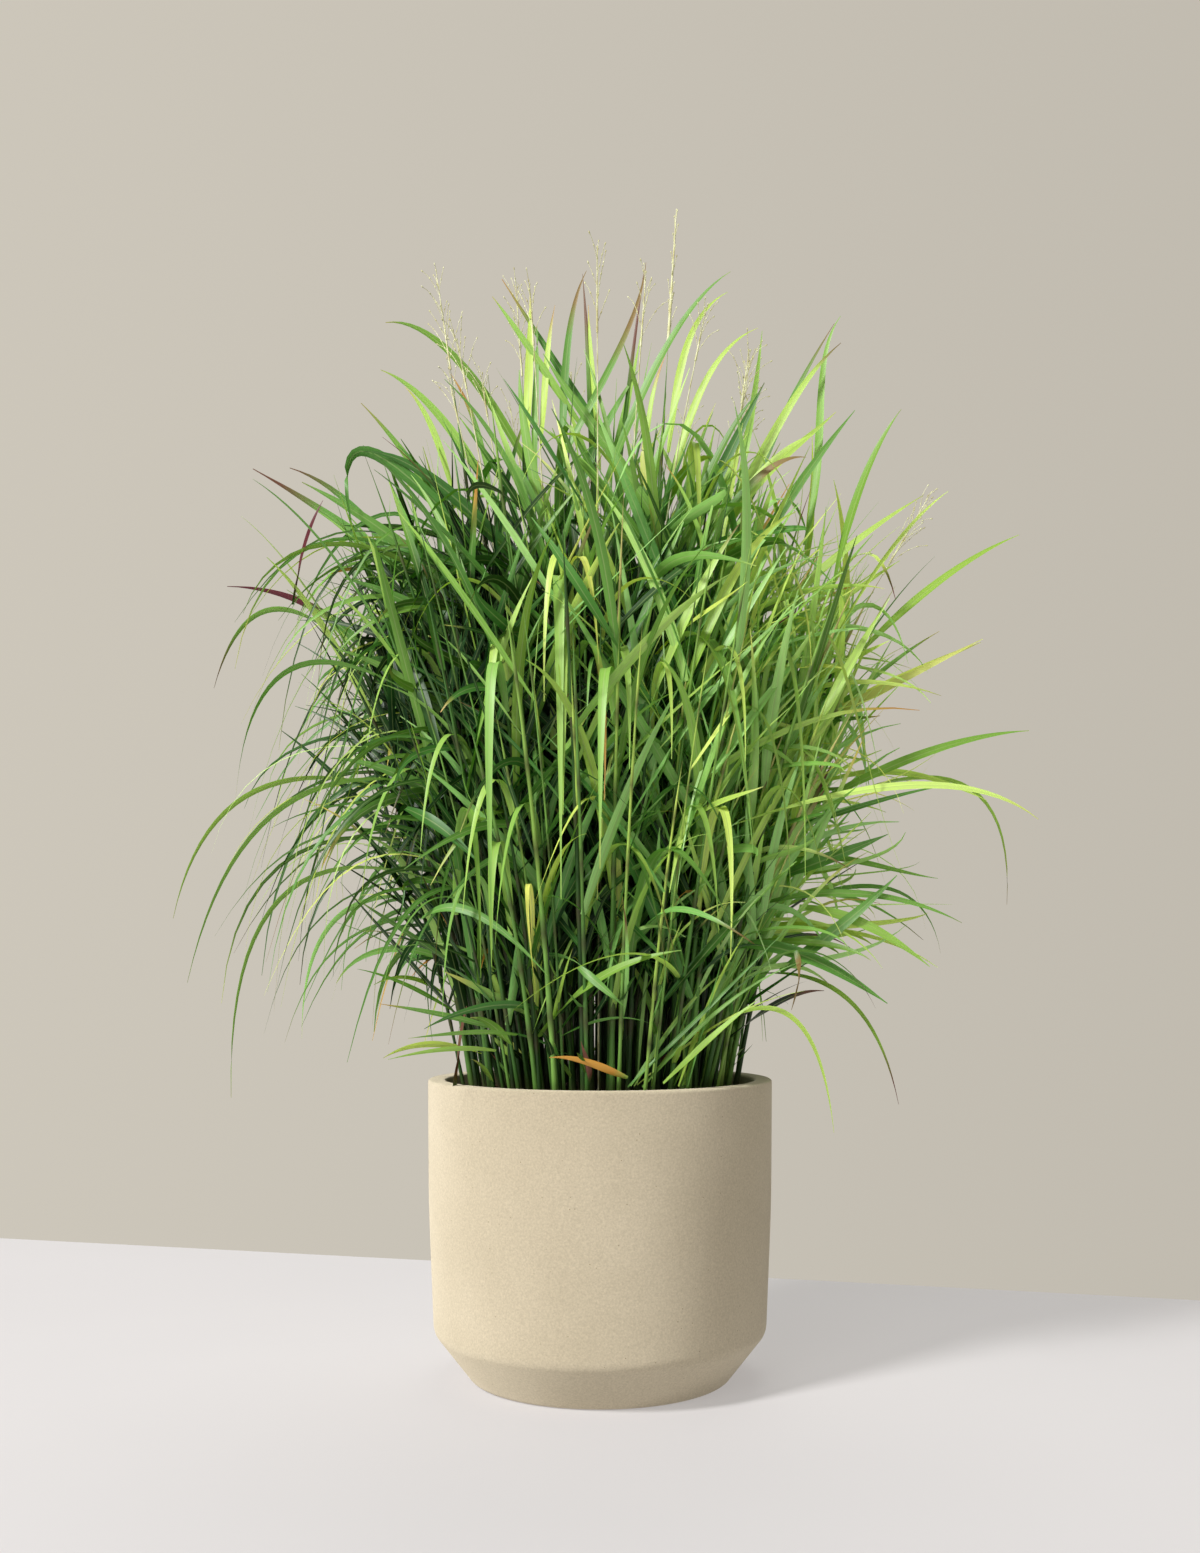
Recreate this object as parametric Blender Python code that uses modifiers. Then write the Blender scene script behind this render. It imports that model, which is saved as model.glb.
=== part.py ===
"""Potted switchgrass: a round planter filled with soil, leafy and flowering stems, and long arching leaves.

Units are metres, +Z is up, +X is the right of the object seen from its front, and -Y is its front.
The origin is the centre of the planter's flat foot.
"""

import math

import bmesh
import bpy
from mathutils import Vector

# Planter. The wall's outer face comes in by WALL_DRAFT between the rim and WALL_MIDDLE_HEIGHT.
RIM_RADIUS = 0.178
RIM_HEIGHT = 0.295
RIM_EDGE = 0.004
WALL = 0.0184
WALL_DRAFT = 0.0025
WALL_MIDDLE_HEIGHT = 0.17
CHAMFER_TOP_RADIUS = 0.1691
CHAMFER_TOP_HEIGHT = 0.0464
CHAMFER_ROUNDING = 0.006
FOOT_RADIUS = 0.131
FOOT_ROUNDING = 0.004
FLOOR_THICKNESS = 0.022
INNER_FLOOR_RADIUS = 0.140
INNER_DRAFT = 0.0035
INNER_CHAMFER_HEIGHT = 0.0584
TURN_STEPS = 40

# Clearance between pieces that touch, and the distance within which two points count as one
GAP = 0.0003
MERGE = 0.00002

# Soil. Its top is level but for a slope down to the planter's wall that is SOIL_SLOPE wide.
SOIL_TOP_HEIGHT = 0.283
SOIL_EDGE_HEIGHT = 0.279
SOIL_SLOPE = 0.022

# Stems. A stem's foot stands far enough above the soil that a leaning stem's lower edge is clear of it too.
STEM_RADIUS = 0.0026
STEM_TAPER = 0.55
STEM_FOOT_HEIGHT = SOIL_TOP_HEIGHT + 0.0009
STEM_POINTS = 7
STEM_SIDES = 6
STEM_BEND = 1.5
NODE_SWELLING = 1.18

# Leaf blades. Widths are shares of the blade's greatest width, which is at WIDEST_PLACE along it.
LEAF_KEEL = 0.13
SHEATH_WIDTH = 0.55
WIDEST_PLACE = 0.3
TIP_WIDTH = 0.06
NARROWING = 1.8
TWIST_END = 0.45
LEAF_TWIST = 62
LEAF_POINTS = 8
LEAF_GAP = 0.0012
SIDE_LEAF_TWIST = 28
SIDE_LEAF_POINTS = 5
SIDE_LEAF_WIDTH = 0.010
SIDE_LEAF_PULL_RISE = 0.6
SIDE_LEAF_PULL_REACH = 0.1
SIDE_LEAF_REACH = 0.4

# Seed heads
STALK_RADII = [0.0011, 0.0010, 0.0008, 0.0003]
STALK_OVERLAP = 0.004
BRANCH_RADII = [0.0005, 0.0012, 0.0004]
BRANCH_SIDES = 4
HEAD_BRANCHES = 5
LOWEST_BRANCH = 0.08
BRANCH_SPREAD = 0.8
BRANCH_TURN = 137.5
BRANCH_REACH = 0.035
BRANCH_TAPER = 0.6
BRANCH_RISE = 1.3
BRANCH_BOW = 0.002


def clear_scene():
    for obj in list(bpy.data.objects):
        bpy.data.objects.remove(obj)


def make_material(name, colour, roughness):
    material = bpy.data.materials.new(name)
    material.use_nodes = True
    shader = material.node_tree.nodes["Principled BSDF"]
    shader.inputs["Base Color"].default_value = (*colour, 1.0)
    shader.inputs["Roughness"].default_value = roughness
    shader.inputs["Metallic"].default_value = 0.0
    return material


def add_to_part(obj, material):
    obj.data.materials.clear()
    obj.data.materials.append(material)
    PART.objects.link(obj)
    return obj


def turned(name, profile, material):
    """A solid turned about Z from a profile of (radius, height) points that runs down its outer side."""
    mesh = bpy.data.meshes.new(name)
    points = [(radius, 0.0, height) for radius, height in profile]
    mesh.from_pydata(points, [(i, i + 1) for i in range(len(points) - 1)], [])
    obj = add_to_part(bpy.data.objects.new(name, mesh), material)
    screw = obj.modifiers.new("Turn", "SCREW")
    screw.steps = TURN_STEPS
    screw.render_steps = TURN_STEPS
    screw.use_merge_vertices = True
    screw.merge_threshold = 0.0001
    screw.use_smooth_shade = True
    return obj


def make_planter(material):
    inner_rim = RIM_RADIUS - WALL
    profile = [
        (0.0, FLOOR_THICKNESS),
        (INNER_FLOOR_RADIUS, FLOOR_THICKNESS),
        (inner_rim - INNER_DRAFT, INNER_CHAMFER_HEIGHT),
        (inner_rim, RIM_HEIGHT - RIM_EDGE),
        (inner_rim + RIM_EDGE, RIM_HEIGHT),
        (RIM_RADIUS - RIM_EDGE, RIM_HEIGHT),
        (RIM_RADIUS, RIM_HEIGHT - RIM_EDGE),
        (RIM_RADIUS - WALL_DRAFT, WALL_MIDDLE_HEIGHT),
        (CHAMFER_TOP_RADIUS, CHAMFER_TOP_HEIGHT + CHAMFER_ROUNDING),
        (CHAMFER_TOP_RADIUS - CHAMFER_ROUNDING / 2, CHAMFER_TOP_HEIGHT - CHAMFER_ROUNDING),
        (FOOT_RADIUS + FOOT_ROUNDING, FOOT_ROUNDING),
        (FOOT_RADIUS - FOOT_ROUNDING / 2, 0.0),
        (0.0, 0.0),
    ]
    return turned("planter", profile, material)


def make_soil(material):
    """The root ball, which fills the planter to a finger's width below the rim."""
    inner_rim = RIM_RADIUS - WALL - 2 * GAP
    profile = [
        (0.0, SOIL_TOP_HEIGHT),
        (inner_rim - SOIL_SLOPE, SOIL_TOP_HEIGHT),
        (inner_rim, SOIL_EDGE_HEIGHT),
        (inner_rim - INNER_DRAFT, INNER_CHAMFER_HEIGHT),
        (INNER_FLOOR_RADIUS - GAP, FLOOR_THICKNESS + GAP),
        (0.0, FLOOR_THICKNESS + GAP),
    ]
    return turned("soil", profile, material)


def stem_path(foot_radius, azimuth, length, lean, top_lean):
    """Points up a stem whose lean away from the planter's axis grows steadily from its foot to its top."""
    turn = math.radians(azimuth)
    outward = Vector((math.cos(turn), math.sin(turn), 0.0))
    point = outward * foot_radius
    point.z = STEM_FOOT_HEIGHT
    points = [point.copy()]
    step = length / (STEM_POINTS - 1)
    for i in range(STEM_POINTS - 1):
        share = (i + 0.5) / (STEM_POINTS - 1)
        angle = math.radians(lean + (top_lean - lean) * share ** STEM_BEND)
        point = point + outward * (math.sin(angle) * step)
        point.z += math.cos(angle) * step
        points.append(point.copy())
    return points


def point_along(points, share):
    place = share * (len(points) - 1)
    i = min(int(place), len(points) - 2)
    return points[i].lerp(points[i + 1], place - i)


def arc(start, pull, tip, count):
    """Points along the arc that leaves start towards pull and comes down to tip."""
    points = []
    for i in range(count):
        t = i / (count - 1)
        points.append(start * (1 - t) ** 2 + pull * (2 * t * (1 - t)) + tip * t ** 2)
    return points


def split_outwards(mesh):
    """Splits each four-sided face along its outer diagonal, so that a twisted blade's sides stay apart.

    Points that a union has left almost together are made one first.
    """
    shape = bmesh.new()
    shape.from_mesh(mesh)
    bmesh.ops.remove_doubles(shape, verts=shape.verts, dist=MERGE)
    bmesh.ops.dissolve_degenerate(shape, edges=shape.edges, dist=MERGE / 4)
    for face in [face for face in shape.faces if len(face.verts) == 4]:
        a, b, c, d = face.verts
        if (a.co + c.co - b.co - d.co).dot(face.normal) > 0.0:
            bmesh.utils.face_split(face, a, c)
        else:
            bmesh.utils.face_split(face, b, d)
    shape.to_mesh(mesh)
    shape.free()
    return mesh


def sweep(name, points, radii, sides=STEM_SIDES, section=None, tilts=None):
    """A mesh swept along points, a tube of that many sides where no section is given, with closed ends."""
    curve = bpy.data.curves.new(name, "CURVE")
    curve.dimensions = "3D"
    curve.twist_mode = "Z_UP"
    curve.use_fill_caps = True
    if section is None:
        curve.bevel_depth = 1.0
        curve.bevel_resolution = sides // 2 - 2
    else:
        curve.bevel_mode = "OBJECT"
        curve.bevel_object = section
    spline = curve.splines.new("POLY")
    spline.points.add(len(points) - 1)
    for i, (point, radius) in enumerate(zip(points, radii)):
        spline.points[i].co = (*point, 1.0)
        spline.points[i].radius = radius
        spline.points[i].tilt = tilts[i] if tilts else 0.0
    guide = bpy.data.objects.new(name + "_guide", curve)
    PART.objects.link(guide)
    bpy.context.view_layer.update()
    graph = bpy.context.evaluated_depsgraph_get()
    mesh = bpy.data.meshes.new_from_object(guide.evaluated_get(graph))
    bpy.data.objects.remove(guide)
    shape = bmesh.new()
    shape.from_mesh(mesh)
    bmesh.ops.remove_doubles(shape, verts=shape.verts, dist=0.000001)
    bmesh.ops.recalc_face_normals(shape, faces=shape.faces)
    shape.to_mesh(mesh)
    shape.free()
    mesh.shade_smooth()
    return mesh


def make_leaf_section():
    """The cross section of a leaf one unit wide: flat above, with a keel below where its midrib is."""
    outline = [(-0.5, 0.0), (0.5, 0.0), (0.0, -LEAF_KEEL)]
    curve = bpy.data.curves.new("leaf_section", "CURVE")
    curve.dimensions = "2D"
    spline = curve.splines.new("POLY")
    spline.points.add(len(outline) - 1)
    for point, place in zip(spline.points, outline):
        point.co = (*place, 0.0, 1.0)
    spline.use_cyclic_u = True
    section = bpy.data.objects.new("leaf_section", curve)
    section.hide_render = True
    section.display_type = "WIRE"
    GUIDES.objects.link(section)
    return section


def leaf_mesh(name, points, width, twist, twist_end):
    """A blade that widens from its sheath up to WIDEST_PLACE of its length, and narrows to a fine tip.

    It leaves its stem flat side up, and has turned on its edge by twist degrees at twist_end of its length.
    """
    widths = []
    tilts = []
    for i in range(len(points)):
        share = i / (len(points) - 1)
        if share < WIDEST_PLACE:
            spread = SHEATH_WIDTH + (1.0 - SHEATH_WIDTH) * math.sin(share / WIDEST_PLACE * math.pi / 2)
        else:
            spread = 1.0 - ((share - WIDEST_PLACE) / (1.0 - WIDEST_PLACE)) ** NARROWING
        widths.append(width * max(spread, TIP_WIDTH))
        tilts.append(math.radians(twist) * min(share / twist_end, 1.0))
    return sweep(name, points, widths, section=LEAF_SECTION, tilts=tilts)


def join_meshes(name, meshes, material):
    """One grown piece: the first mesh with every other one united to it."""
    base = bpy.data.objects.new(name, meshes[0])
    add_to_part(base, material)
    helpers = []
    for mesh in meshes[1:]:
        helper = bpy.data.objects.new(name + "_join", mesh)
        GUIDES.objects.link(helper)
        union = base.modifiers.new("Grow", "BOOLEAN")
        union.operation = "UNION"
        union.solver = "MANIFOLD"
        union.object = helper
        helpers.append(helper)
    bpy.context.view_layer.update()
    graph = bpy.context.evaluated_depsgraph_get()
    grown = bpy.data.meshes.new_from_object(base.evaluated_get(graph))
    base.modifiers.clear()
    base.data = split_outwards(grown)
    for helper in helpers:
        bpy.data.objects.remove(helper)
    base.data.materials.clear()
    base.data.materials.append(material)
    return base


def stem_radius(share):
    return STEM_RADIUS * (1.0 - STEM_TAPER * share)


def stem_radii():
    """Stem thickness at each path point, narrowing upwards, with every other point a swollen joint."""
    radii = []
    for i in range(STEM_POINTS):
        radius = stem_radius(i / (STEM_POINTS - 1))
        radii.append(radius * (NODE_SWELLING if i % 2 == 0 else 1.0))
    return radii


def side_leaf(name, path, share, azimuth, length, rise):
    """A leaf that leaves its stem at share of the stem's length, and rises by rise of its own length."""
    turn = math.radians(azimuth)
    outward = Vector((math.cos(turn), math.sin(turn), 0.0))
    start = point_along(path, share)
    upward = (point_along(path, share + 0.1) - point_along(path, share - 0.1)).normalized()
    pull = start + (upward * SIDE_LEAF_PULL_RISE + outward * SIDE_LEAF_PULL_REACH) * length
    tip = start + (upward * rise + outward * SIDE_LEAF_REACH) * length
    points = arc(start, pull, tip, SIDE_LEAF_POINTS)
    return leaf_mesh(name, points, SIDE_LEAF_WIDTH, SIDE_LEAF_TWIST, 1.0)


def seed_head(name, path, length, branches):
    """The loose flower head at the top of a stem: a thin stalk with short rising branches."""
    top = path[-1]
    upward = (path[-1] - path[-2]).normalized()
    step = length / (len(STALK_RADII) - 1)
    stalk = [top + upward * (step * i - STALK_OVERLAP) for i in range(len(STALK_RADII))]
    meshes = [sweep(name + "_stalk", stalk, STALK_RADII)]
    for i in range(branches):
        share = LOWEST_BRANCH + BRANCH_SPREAD * i / branches
        turn = math.radians(BRANCH_TURN * i)
        outward = Vector((math.cos(turn), math.sin(turn), 0.0))
        start = top + upward * (length * share)
        reach = BRANCH_REACH * (1.0 - BRANCH_TAPER * share)
        tip = start + (outward + upward * BRANCH_RISE) * reach
        middle = start.lerp(tip, 0.5) + upward * BRANCH_BOW
        meshes.append(sweep(name + "_branch", [start, middle, tip], BRANCH_RADII, BRANCH_SIDES))
    return meshes


# Each stem: name, distance of its foot from the axis, azimuth (degrees from +X towards +Y), length,
# lean at the foot and at the top (degrees from upright), angle to each side at which its leaves leave it.
LEAFY_STEMS = [
    ("leafy_stem_01", 0.030, 95, 0.66, 1, 6, 60),
    ("leafy_stem_02", 0.035, 215, 0.64, 2, 9, 75),
    ("leafy_stem_03", 0.085, 65, 0.62, 5, 14, 60),
    ("leafy_stem_04", 0.080, 120, 0.60, 5, 14, 60),
    ("leafy_stem_05", 0.080, 250, 0.60, 4, 10, 60),
    ("leafy_stem_06", 0.075, 300, 0.62, 3, 9, 60),
    ("leafy_stem_07", 0.128, 32, 0.55, 8, 26, 60),
    ("leafy_stem_08", 0.130, 62, 0.54, 8, 26, 60),
    ("leafy_stem_09", 0.128, 95, 0.55, 8, 24, 60),
    ("leafy_stem_10", 0.130, 128, 0.54, 8, 26, 60),
    ("leafy_stem_11", 0.130, 158, 0.56, 9, 28, 60),
    ("leafy_stem_12", 0.132, 186, 0.55, 10, 30, 60),
    ("leafy_stem_13", 0.130, 214, 0.52, 9, 26, 60),
    ("leafy_stem_14", 0.128, 243, 0.50, 7, 20, 60),
    ("leafy_stem_15", 0.128, 275, 0.50, 6, 18, 45),
    ("leafy_stem_16", 0.130, 308, 0.52, 7, 22, 70),
    ("leafy_stem_17", 0.130, 337, 0.54, 9, 28, -70),
]
# The leaves up a stem, alternately to either side: how far up (0 to 1), length, how much of it is rise.
SIDE_LEAVES = [(0.16, 0.28, 0.60), (0.38, 0.32, 0.66), (0.60, 0.30, 0.74), (0.82, 0.25, 0.86)]

FLOWER_STEM_LEAVES = [(0.26, 0.34, 0.74), (0.52, 0.32, 0.80)]

# Each flowering stem: the same values as a leafy stem's, then the length of its seed head.
FLOWER_STEMS = [
    ("flower_stem_01", 0.040, 340, 0.80, 2, 4, 90, 0.160),
    ("flower_stem_02", 0.078, 172, 0.80, 5, 9, -70, 0.120),
    ("flower_stem_03", 0.050, 150, 0.80, 3, 5, -90, 0.120),
    ("flower_stem_04", 0.080, 22, 0.71, 5, 10, -70, 0.120),
    ("flower_stem_05", 0.130, 3, 0.59, 9, 32, 60, 0.110),
]

# Each long leaf: name, the stem that it grows from, how far up that stem (0 to 1),
# the point that its arch is drawn towards, its tip, its width.
LEAVES = [
    ("leaf_01", "flower_stem_02", 0.60, (-0.235, 0.03, 0.875), (-0.390, 0.04, 0.965), 0.011),
    ("leaf_02", "leafy_stem_10", 0.72, (-0.24, 0.14, 0.960), (-0.370, 0.14, 1.000), 0.010),
    ("leaf_03", "leafy_stem_04", 0.75, (-0.185, 0.10, 0.970), (-0.280, 0.10, 1.065), 0.010),
    ("leaf_04", "leafy_stem_11", 0.75, (-0.290, 0.085, 0.840), (-0.430, 0.10, 0.845), 0.010),
    ("leaf_05", "leafy_stem_01", 0.80, (-0.15, 0.06, 1.160), (-0.250, 0.08, 1.155), 0.012),
    ("leaf_06", "flower_stem_03", 0.70, (-0.17, 0.05, 1.055), (-0.250, 0.05, 1.085), 0.012),
    ("leaf_07", "leafy_stem_12", 0.58, (-0.41, -0.02, 0.655), (-0.445, -0.02, 0.460), 0.009),
    ("leaf_08", "leafy_stem_13", 0.60, (-0.35, -0.14, 0.630), (-0.390, -0.16, 0.395), 0.009),
    ("leaf_09", "leafy_stem_13", 0.40, (-0.37, -0.12, 0.575), (-0.355, -0.12, 0.285), 0.008),
    ("leaf_10", "leafy_stem_11", 0.35, (-0.335, 0.09, 0.530), (-0.335, 0.12, 0.330), 0.009),
    ("leaf_11", "leafy_stem_12", 0.90, (-0.375, -0.03, 0.840), (-0.405, -0.04, 0.700), 0.009),
    ("leaf_12", "leafy_stem_13", 0.08, (-0.175, -0.08, 0.345), (-0.215, -0.08, 0.320), 0.008),
    ("leaf_13", "leafy_stem_13", 0.79, (-0.34, -0.16, 0.765), (-0.340, -0.20, 0.565), 0.009),
    ("leaf_14", "leafy_stem_02", 0.72, (0.05, -0.05, 1.100), (0.140, -0.06, 1.150), 0.012),
    ("leaf_15", "leafy_stem_06", 0.80, (0.115, -0.12, 0.940), (0.160, -0.12, 0.990), 0.011),
    ("leaf_16", "flower_stem_04", 0.75, (0.18, 0.05, 1.000), (0.270, 0.06, 1.145), 0.010),
    ("leaf_17", "leafy_stem_17", 0.84, (0.250, -0.115, 0.900), (0.305, -0.13, 0.970), 0.013),
    ("leaf_18", "flower_stem_05", 0.75, (0.36, 0.01, 0.840), (0.460, 0.01, 0.880), 0.011),
    ("leaf_19", "leafy_stem_07", 0.70, (0.375, 0.14, 0.760), (0.450, 0.15, 0.790), 0.011),
    ("leaf_20", "leafy_stem_17", 0.50, (0.33, -0.07, 0.645), (0.440, -0.07, 0.650), 0.012),
    ("leaf_21", "leafy_stem_16", 0.50, (0.34, -0.14, 0.625), (0.420, -0.16, 0.550), 0.010),
    ("leaf_22", "flower_stem_05", 0.48, (0.45, 0.00, 0.695), (0.430, 0.00, 0.475), 0.009),
    ("leaf_23", "leafy_stem_07", 0.30, (0.365, 0.12, 0.565), (0.390, 0.14, 0.425), 0.009),
    ("leaf_24", "leafy_stem_16", 0.10, (0.205, -0.14, 0.435), (0.220, -0.15, 0.255), 0.008),
    ("leaf_25", "leafy_stem_17", 0.22, (0.27, -0.07, 0.425), (0.295, -0.08, 0.275), 0.008),
    ("leaf_26", "leafy_stem_14", 0.75, (-0.11, -0.24, 0.800), (-0.095, -0.26, 0.425), 0.011),
    ("leaf_27", "leafy_stem_05", 0.75, (-0.04, -0.20, 0.925), (-0.035, -0.24, 0.470), 0.012),
    ("leaf_28", "leafy_stem_15", 0.72, (0.0, -0.25, 0.780), (0.000, -0.28, 0.495), 0.011),
    ("leaf_29", "leafy_stem_06", 0.60, (0.12, -0.18, 0.860), (0.140, -0.22, 0.515), 0.012),
    ("leaf_30", "leafy_stem_14", 0.12, (-0.01, -0.19, 0.415), (0.075, -0.20, 0.425), 0.011),
    ("leaf_31", "leafy_stem_01", 0.92, (-0.01, 0.05, 1.075), (-0.020, 0.05, 1.200), 0.008),
    ("leaf_32", "leafy_stem_01", 0.70, (0.03, 0.03, 1.055), (0.050, 0.03, 1.195), 0.008),
    ("leaf_33", "leafy_stem_09", 0.60, (-0.02, 0.30, 0.850), (-0.040, 0.40, 0.620), 0.011),
    ("leaf_34", "leafy_stem_08", 0.60, (0.13, 0.27, 0.820), (0.200, 0.38, 0.600), 0.011),
    ("leaf_35", "leafy_stem_10", 0.45, (-0.17, 0.25, 0.720), (-0.270, 0.33, 0.500), 0.010),
    ("leaf_36", "leafy_stem_03", 0.80, (0.10, 0.20, 1.020), (0.170, 0.30, 0.950), 0.010),
]


def make_stem(row, leaves, material):
    """A stem with its side leaves, and a seed head where its row gives the head's length."""
    name, foot_radius, azimuth, length, lean, top_lean, fan = row[:7]
    path = stem_path(foot_radius, azimuth, length, lean, top_lean)
    meshes = [sweep(name + "_culm", path, stem_radii())]
    for i, (share, leaf_length, rise) in enumerate(leaves):
        side = fan if i % 2 == 0 else -fan
        meshes.append(side_leaf(name + "_blade", path, share, azimuth + side, leaf_length, rise))
    for head_length in row[7:]:
        meshes += seed_head(name, path, head_length, HEAD_BRANCHES)
    join_meshes(name, meshes, material)
    return path


def make_leaf(row, paths, material):
    name, stem, share, pull, tip, width = row
    foot = point_along(paths[stem], share)
    along = (point_along(paths[stem], min(share + 0.05, 1.0)) - foot).normalized()
    reach = Vector(pull) - foot
    away = reach - along * reach.dot(along)
    start = foot + away.normalized() * (stem_radius(share) * NODE_SWELLING + LEAF_GAP)
    points = arc(start, Vector(pull), Vector(tip), LEAF_POINTS)
    mesh = split_outwards(leaf_mesh(name, points, width, LEAF_TWIST, TWIST_END))
    return add_to_part(bpy.data.objects.new(name, mesh), material)


clear_scene()
PART = bpy.data.collections.new("potted_switchgrass")
GUIDES = bpy.data.collections.new("guides")
GUIDES.hide_render = True
bpy.context.scene.collection.children.link(PART)
bpy.context.scene.collection.children.link(GUIDES)
LEAF_SECTION = make_leaf_section()

make_planter(make_material("sandy_cast_stone", (0.69, 0.60, 0.44), 0.8))
make_soil(make_material("potting_soil", (0.06, 0.035, 0.02), 0.95))
green_stem = make_material("green_stem", (0.20, 0.33, 0.08), 0.5)
flowering_stem = make_material("flowering_stem", (0.45, 0.50, 0.20), 0.55)
green_leaf = make_material("green_leaf", (0.10, 0.27, 0.06), 0.45)
stem_paths = {}
for stem_row in LEAFY_STEMS:
    stem_paths[stem_row[0]] = make_stem(stem_row, SIDE_LEAVES, green_stem)
for stem_row in FLOWER_STEMS:
    stem_paths[stem_row[0]] = make_stem(stem_row, FLOWER_STEM_LEAVES, flowering_stem)
for leaf_row in LEAVES:
    make_leaf(leaf_row, stem_paths, green_leaf)
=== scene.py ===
import math

import bpy
import numpy as np
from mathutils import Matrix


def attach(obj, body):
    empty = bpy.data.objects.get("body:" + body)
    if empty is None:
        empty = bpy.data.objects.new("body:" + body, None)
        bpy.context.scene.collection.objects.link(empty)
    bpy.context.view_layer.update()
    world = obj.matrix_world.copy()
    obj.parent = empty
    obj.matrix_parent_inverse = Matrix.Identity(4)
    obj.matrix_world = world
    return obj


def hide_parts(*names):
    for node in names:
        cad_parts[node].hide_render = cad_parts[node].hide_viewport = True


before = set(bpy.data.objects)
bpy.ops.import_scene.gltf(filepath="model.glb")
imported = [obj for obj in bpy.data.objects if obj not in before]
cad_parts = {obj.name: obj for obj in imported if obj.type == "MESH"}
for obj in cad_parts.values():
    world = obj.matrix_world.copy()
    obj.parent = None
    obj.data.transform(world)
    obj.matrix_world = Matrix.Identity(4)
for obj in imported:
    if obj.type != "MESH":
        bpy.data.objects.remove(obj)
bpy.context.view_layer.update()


# Planter.
# A round pot cast in one piece from a sandy stone mix, with a soft rim and a chamfer that turns in to a
# narrower foot. Its face is left as it came out of the mould, matt and finely grained with dark grit.
RIM_RADIUS = 0.178
RIM_HEIGHT = 0.295
WALL = 0.0184
MIDDLE_HEIGHT = 0.170
MIDDLE_DRAFT = 0.0025
CHAMFER_RADIUS = 0.1688
CHAMFER_HEIGHT = 0.0464
FOOT_RADIUS = 0.1312
INNER_FLOOR_HEIGHT = 0.022
INNER_FLOOR_RADIUS = 0.140
INNER_WALL_FOOT = 0.0584
INNER_DRAFT = 0.0035
PLANTER_STEPS = 160
ROUNDING_STEPS = 6
MERGE_DISTANCE = 0.00005
BLACK = (0.0, 0.0, 0.0)
WHITE = (1.0, 1.0, 1.0)


def rounded(outline):
    """The outline, given as (radius, height, rounding), with each corner made a curve of points."""
    smooth = []
    for i, (radius, height, rounding) in enumerate(outline):
        corner = np.array([radius, height])
        if rounding == 0.0:
            smooth.append(corner)
            continue
        before = np.array(outline[i - 1][:2]) - corner
        after = np.array(outline[(i + 1) % len(outline)][:2]) - corner
        first = corner + before / np.linalg.norm(before) * rounding
        last = corner + after / np.linalg.norm(after) * rounding
        for step in range(ROUNDING_STEPS + 1):
            t = step / ROUNDING_STEPS
            smooth.append(first * (1 - t) ** 2 + corner * (2 * t * (1 - t)) + last * t ** 2)
    return smooth


def new_object(name, data):
    """An object in the scene that holds the mesh, lamp or camera."""
    obj = bpy.data.objects.new(name, data)
    bpy.context.scene.collection.objects.link(obj)
    return obj


def as_plain_mesh(obj):
    """The object with its modifiers turned into mesh and taken off."""
    bpy.context.view_layer.update()
    graph = bpy.context.evaluated_depsgraph_get()
    mesh = bpy.data.meshes.new_from_object(obj.evaluated_get(graph))
    obj.modifiers.clear()
    obj.data = mesh
    return obj


def turned_piece(name, outline, steps):
    """A closed solid of revolution from an outline that runs down its outer side."""
    mesh = bpy.data.meshes.new(name)
    points = [(float(radius), 0.0, float(height)) for radius, height in outline]
    mesh.from_pydata(points, [(i, i + 1) for i in range(len(points) - 1)], [])
    obj = new_object(name, mesh)
    screw = obj.modifiers.new("Turn", "SCREW")
    screw.steps = steps
    screw.render_steps = steps
    screw.use_merge_vertices = True
    screw.merge_threshold = MERGE_DISTANCE
    screw.use_smooth_shade = True
    return as_plain_mesh(obj)


def new_material(name):
    """A material with its node tree and its shader."""
    material = bpy.data.materials.new(name)
    material.use_nodes = True
    return material, material.node_tree, material.node_tree.nodes["Principled BSDF"]


def give(tree, socket, value):
    """Links a socket to the input, or sets a constant on it."""
    if isinstance(value, bpy.types.NodeSocket):
        tree.links.new(value, socket)
    elif socket.type == "RGBA":
        socket.default_value = (*value, 1.0)
    else:
        socket.default_value = value


def feed(tree, node, **values):
    """Gives each input that is named, with underscores for spaces, its socket or constant."""
    for name, value in values.items():
        give(tree, node.inputs[name.replace("_", " ")], value)
    return node


def made(tree, kind, **values):
    """A new node of that kind, with its inputs fed."""
    return feed(tree, tree.nodes.new(kind), **values)


def object_place(tree):
    return tree.nodes.new("ShaderNodeTexCoord").outputs["Object"]


def noise(tree, coordinates, scale, detail=3.0, roughness=0.5):
    texture = made(tree, "ShaderNodeTexNoise", Scale=scale, Detail=detail, Roughness=roughness)
    tree.links.new(coordinates, texture.inputs["Vector"])
    return texture.outputs["Fac"]


def ramped(tree, amount, *stops):
    """The colour that a ramp gives for the amount. Stops are (position, colour), colours in linear light."""
    ramp = made(tree, "ShaderNodeValToRGB", Fac=amount)
    while len(ramp.color_ramp.elements) < len(stops):
        ramp.color_ramp.elements.new(0.5)
    for element, (position, colour) in zip(ramp.color_ramp.elements, stops):
        element.position = position
        element.color = (*colour, 1.0)
    return ramp.outputs["Color"]


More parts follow.
